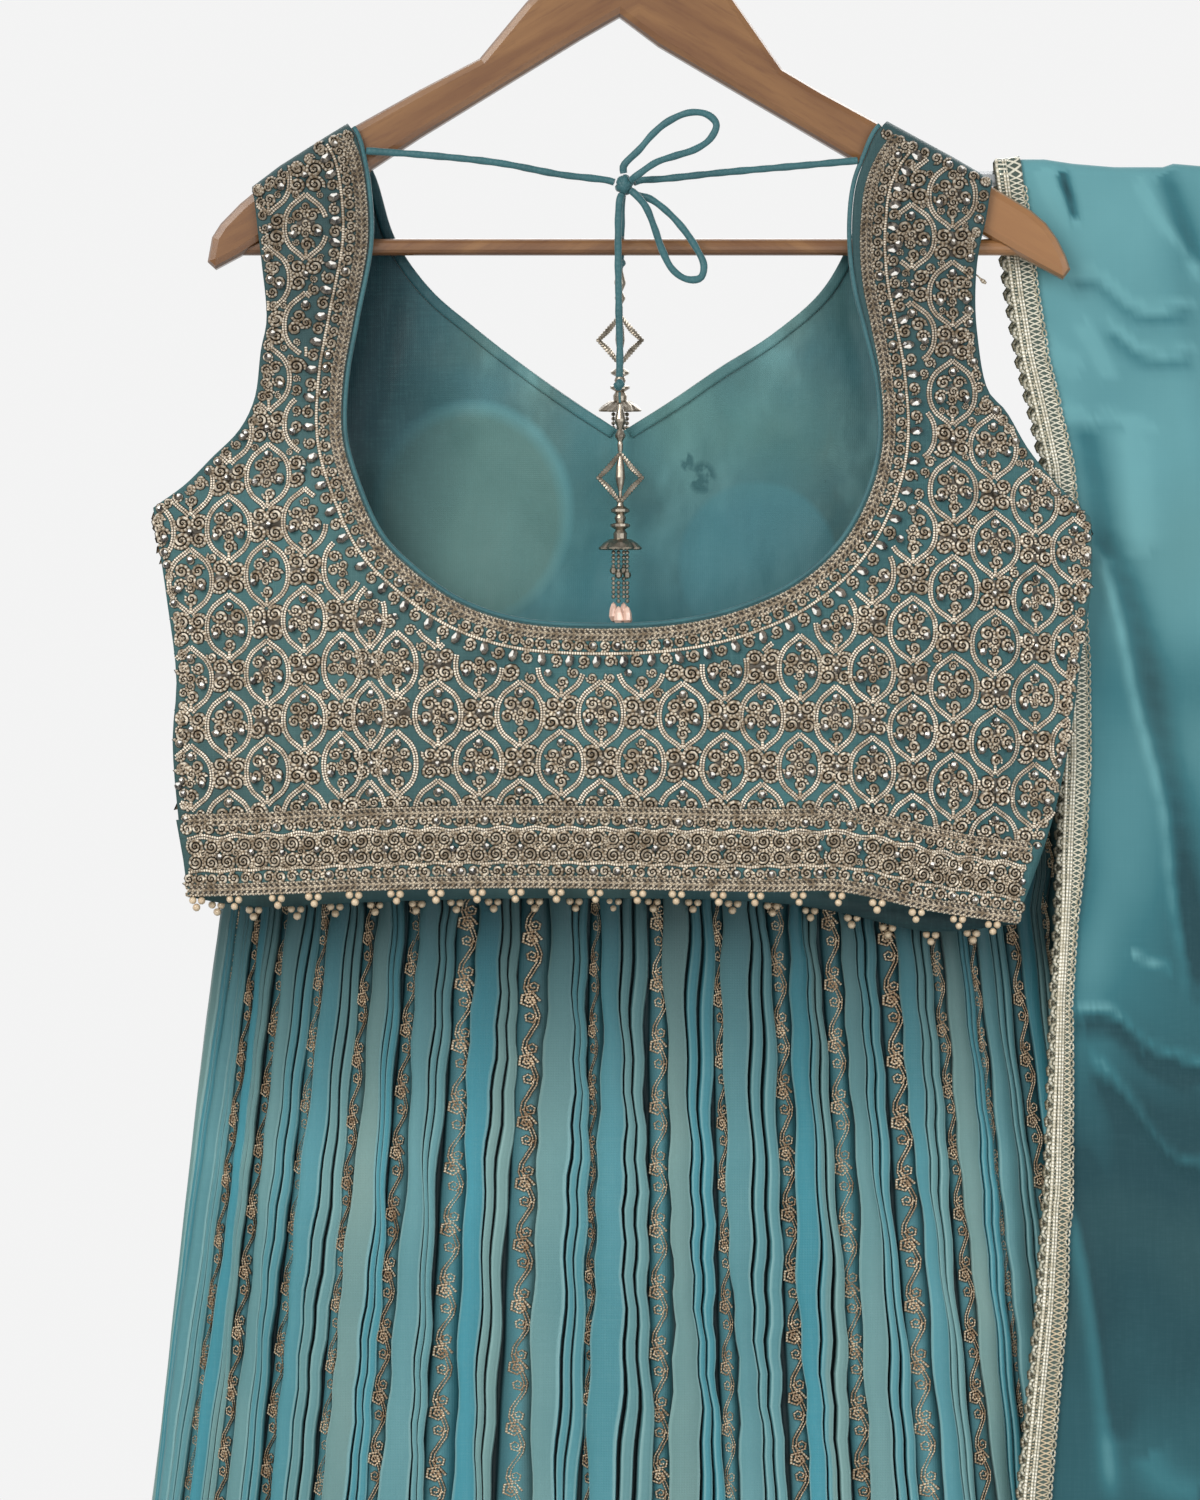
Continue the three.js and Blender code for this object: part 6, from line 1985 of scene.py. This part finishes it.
def lace_pieces():
    """The edge lace: scallops, a strip of cross threads, a cord, and a strip of zigzags with a dotted edge."""
    lengths = scarf_lengths(170, 60)
    columns = np.linspace(-0.5 * LACE_HALF, 0.92 * LACE_HALF, 8)
    grid, _ = lace_place(columns[None], lengths[:, None], 0.8)
    count, width = grid.shape[:2]
    net = linked("lace_net", cloth_mesh(
        "lace_net", grid, flip=True, run=np.repeat(lengths[:, None], width, 1),
        across=np.tile(columns, (count, 1))), LACE)
    thickened(net, 0.7)
    placed(net, "lace", "scarf_lace")
    reach = SCARF_DROP + SCARF_HALF_TURN - 4
    meshes = []
    for shape, across, pitch, size, lift in (
            ("coil_plain", -0.5, 8.8, (1.0, 0.98, 0.8), 0.3), ("loop", 0.95, 4.4, (0.9, 0.9, 0.9), 1.0)):
        spots = np.arange(-reach, reach, pitch)
        spots = spots[np.abs(spots) > SCARF_HALF_TURN + 3]
        place, lean = lace_place(across * LACE_HALF, spots, lift)
        seed = plain_mesh(
            shape, place, [], lean=lean, heading=unit(np.gradient(place, axis=0)),
            size=np.tile(size, (len(place), 1)), tone=chance.random(len(place)))
        meshes.append(grown(shape, seed, SEW, Shape=SHAPES[shape], Finish=SCALLOP))
    for across, profile in ((-0.06, "double"), (-0.52, "single")):
        spots = np.arange(-reach, reach, 6.0)
        place, lean = lace_place(across * LACE_HALF, spots, 1.3)
        seed = plain_mesh(
            profile, place, [], [[i, i + 1] for i in range(len(spots) - 1)], lean=lean, run=spots + reach,
            tone=np.full(len(spots), 0.3))
        meshes.append(grown(profile, seed, LAY, Profile=SHAPES[profile + "_profile"], Finish=SCALLOP))
    trim = joined_piece("lace_trim", meshes)
    placed(trim, "lace")
    return net, trim


lace_net, lace_trim = lace_pieces()

# A loose thread at the right armhole, with its knotted end
loose_line = Line([[171.5, -8, -241.5], [174, -9.5, -243], [176.5, -9.5, -245.5], [178.5, -9, -247]])
loose_path = loose_line.at(np.linspace(0, 1, 12))
loose_wide = np.interp(np.linspace(0, 1, 12), [0, 0.55, 0.8, 1], [0.4, 0.4, 1.3, 0.7])
loose_thread = placed(linked("loose_thread", tube_mesh("loose_thread", loose_path, loose_wide, loose_wide, 7), THREAD),
                      "embroidered_cloth")

# What each sheet was cut to
spread_of(skirt_front)
spread_of(skirt_back)
spread_of(scarf)

bpy.context.view_layer.update()
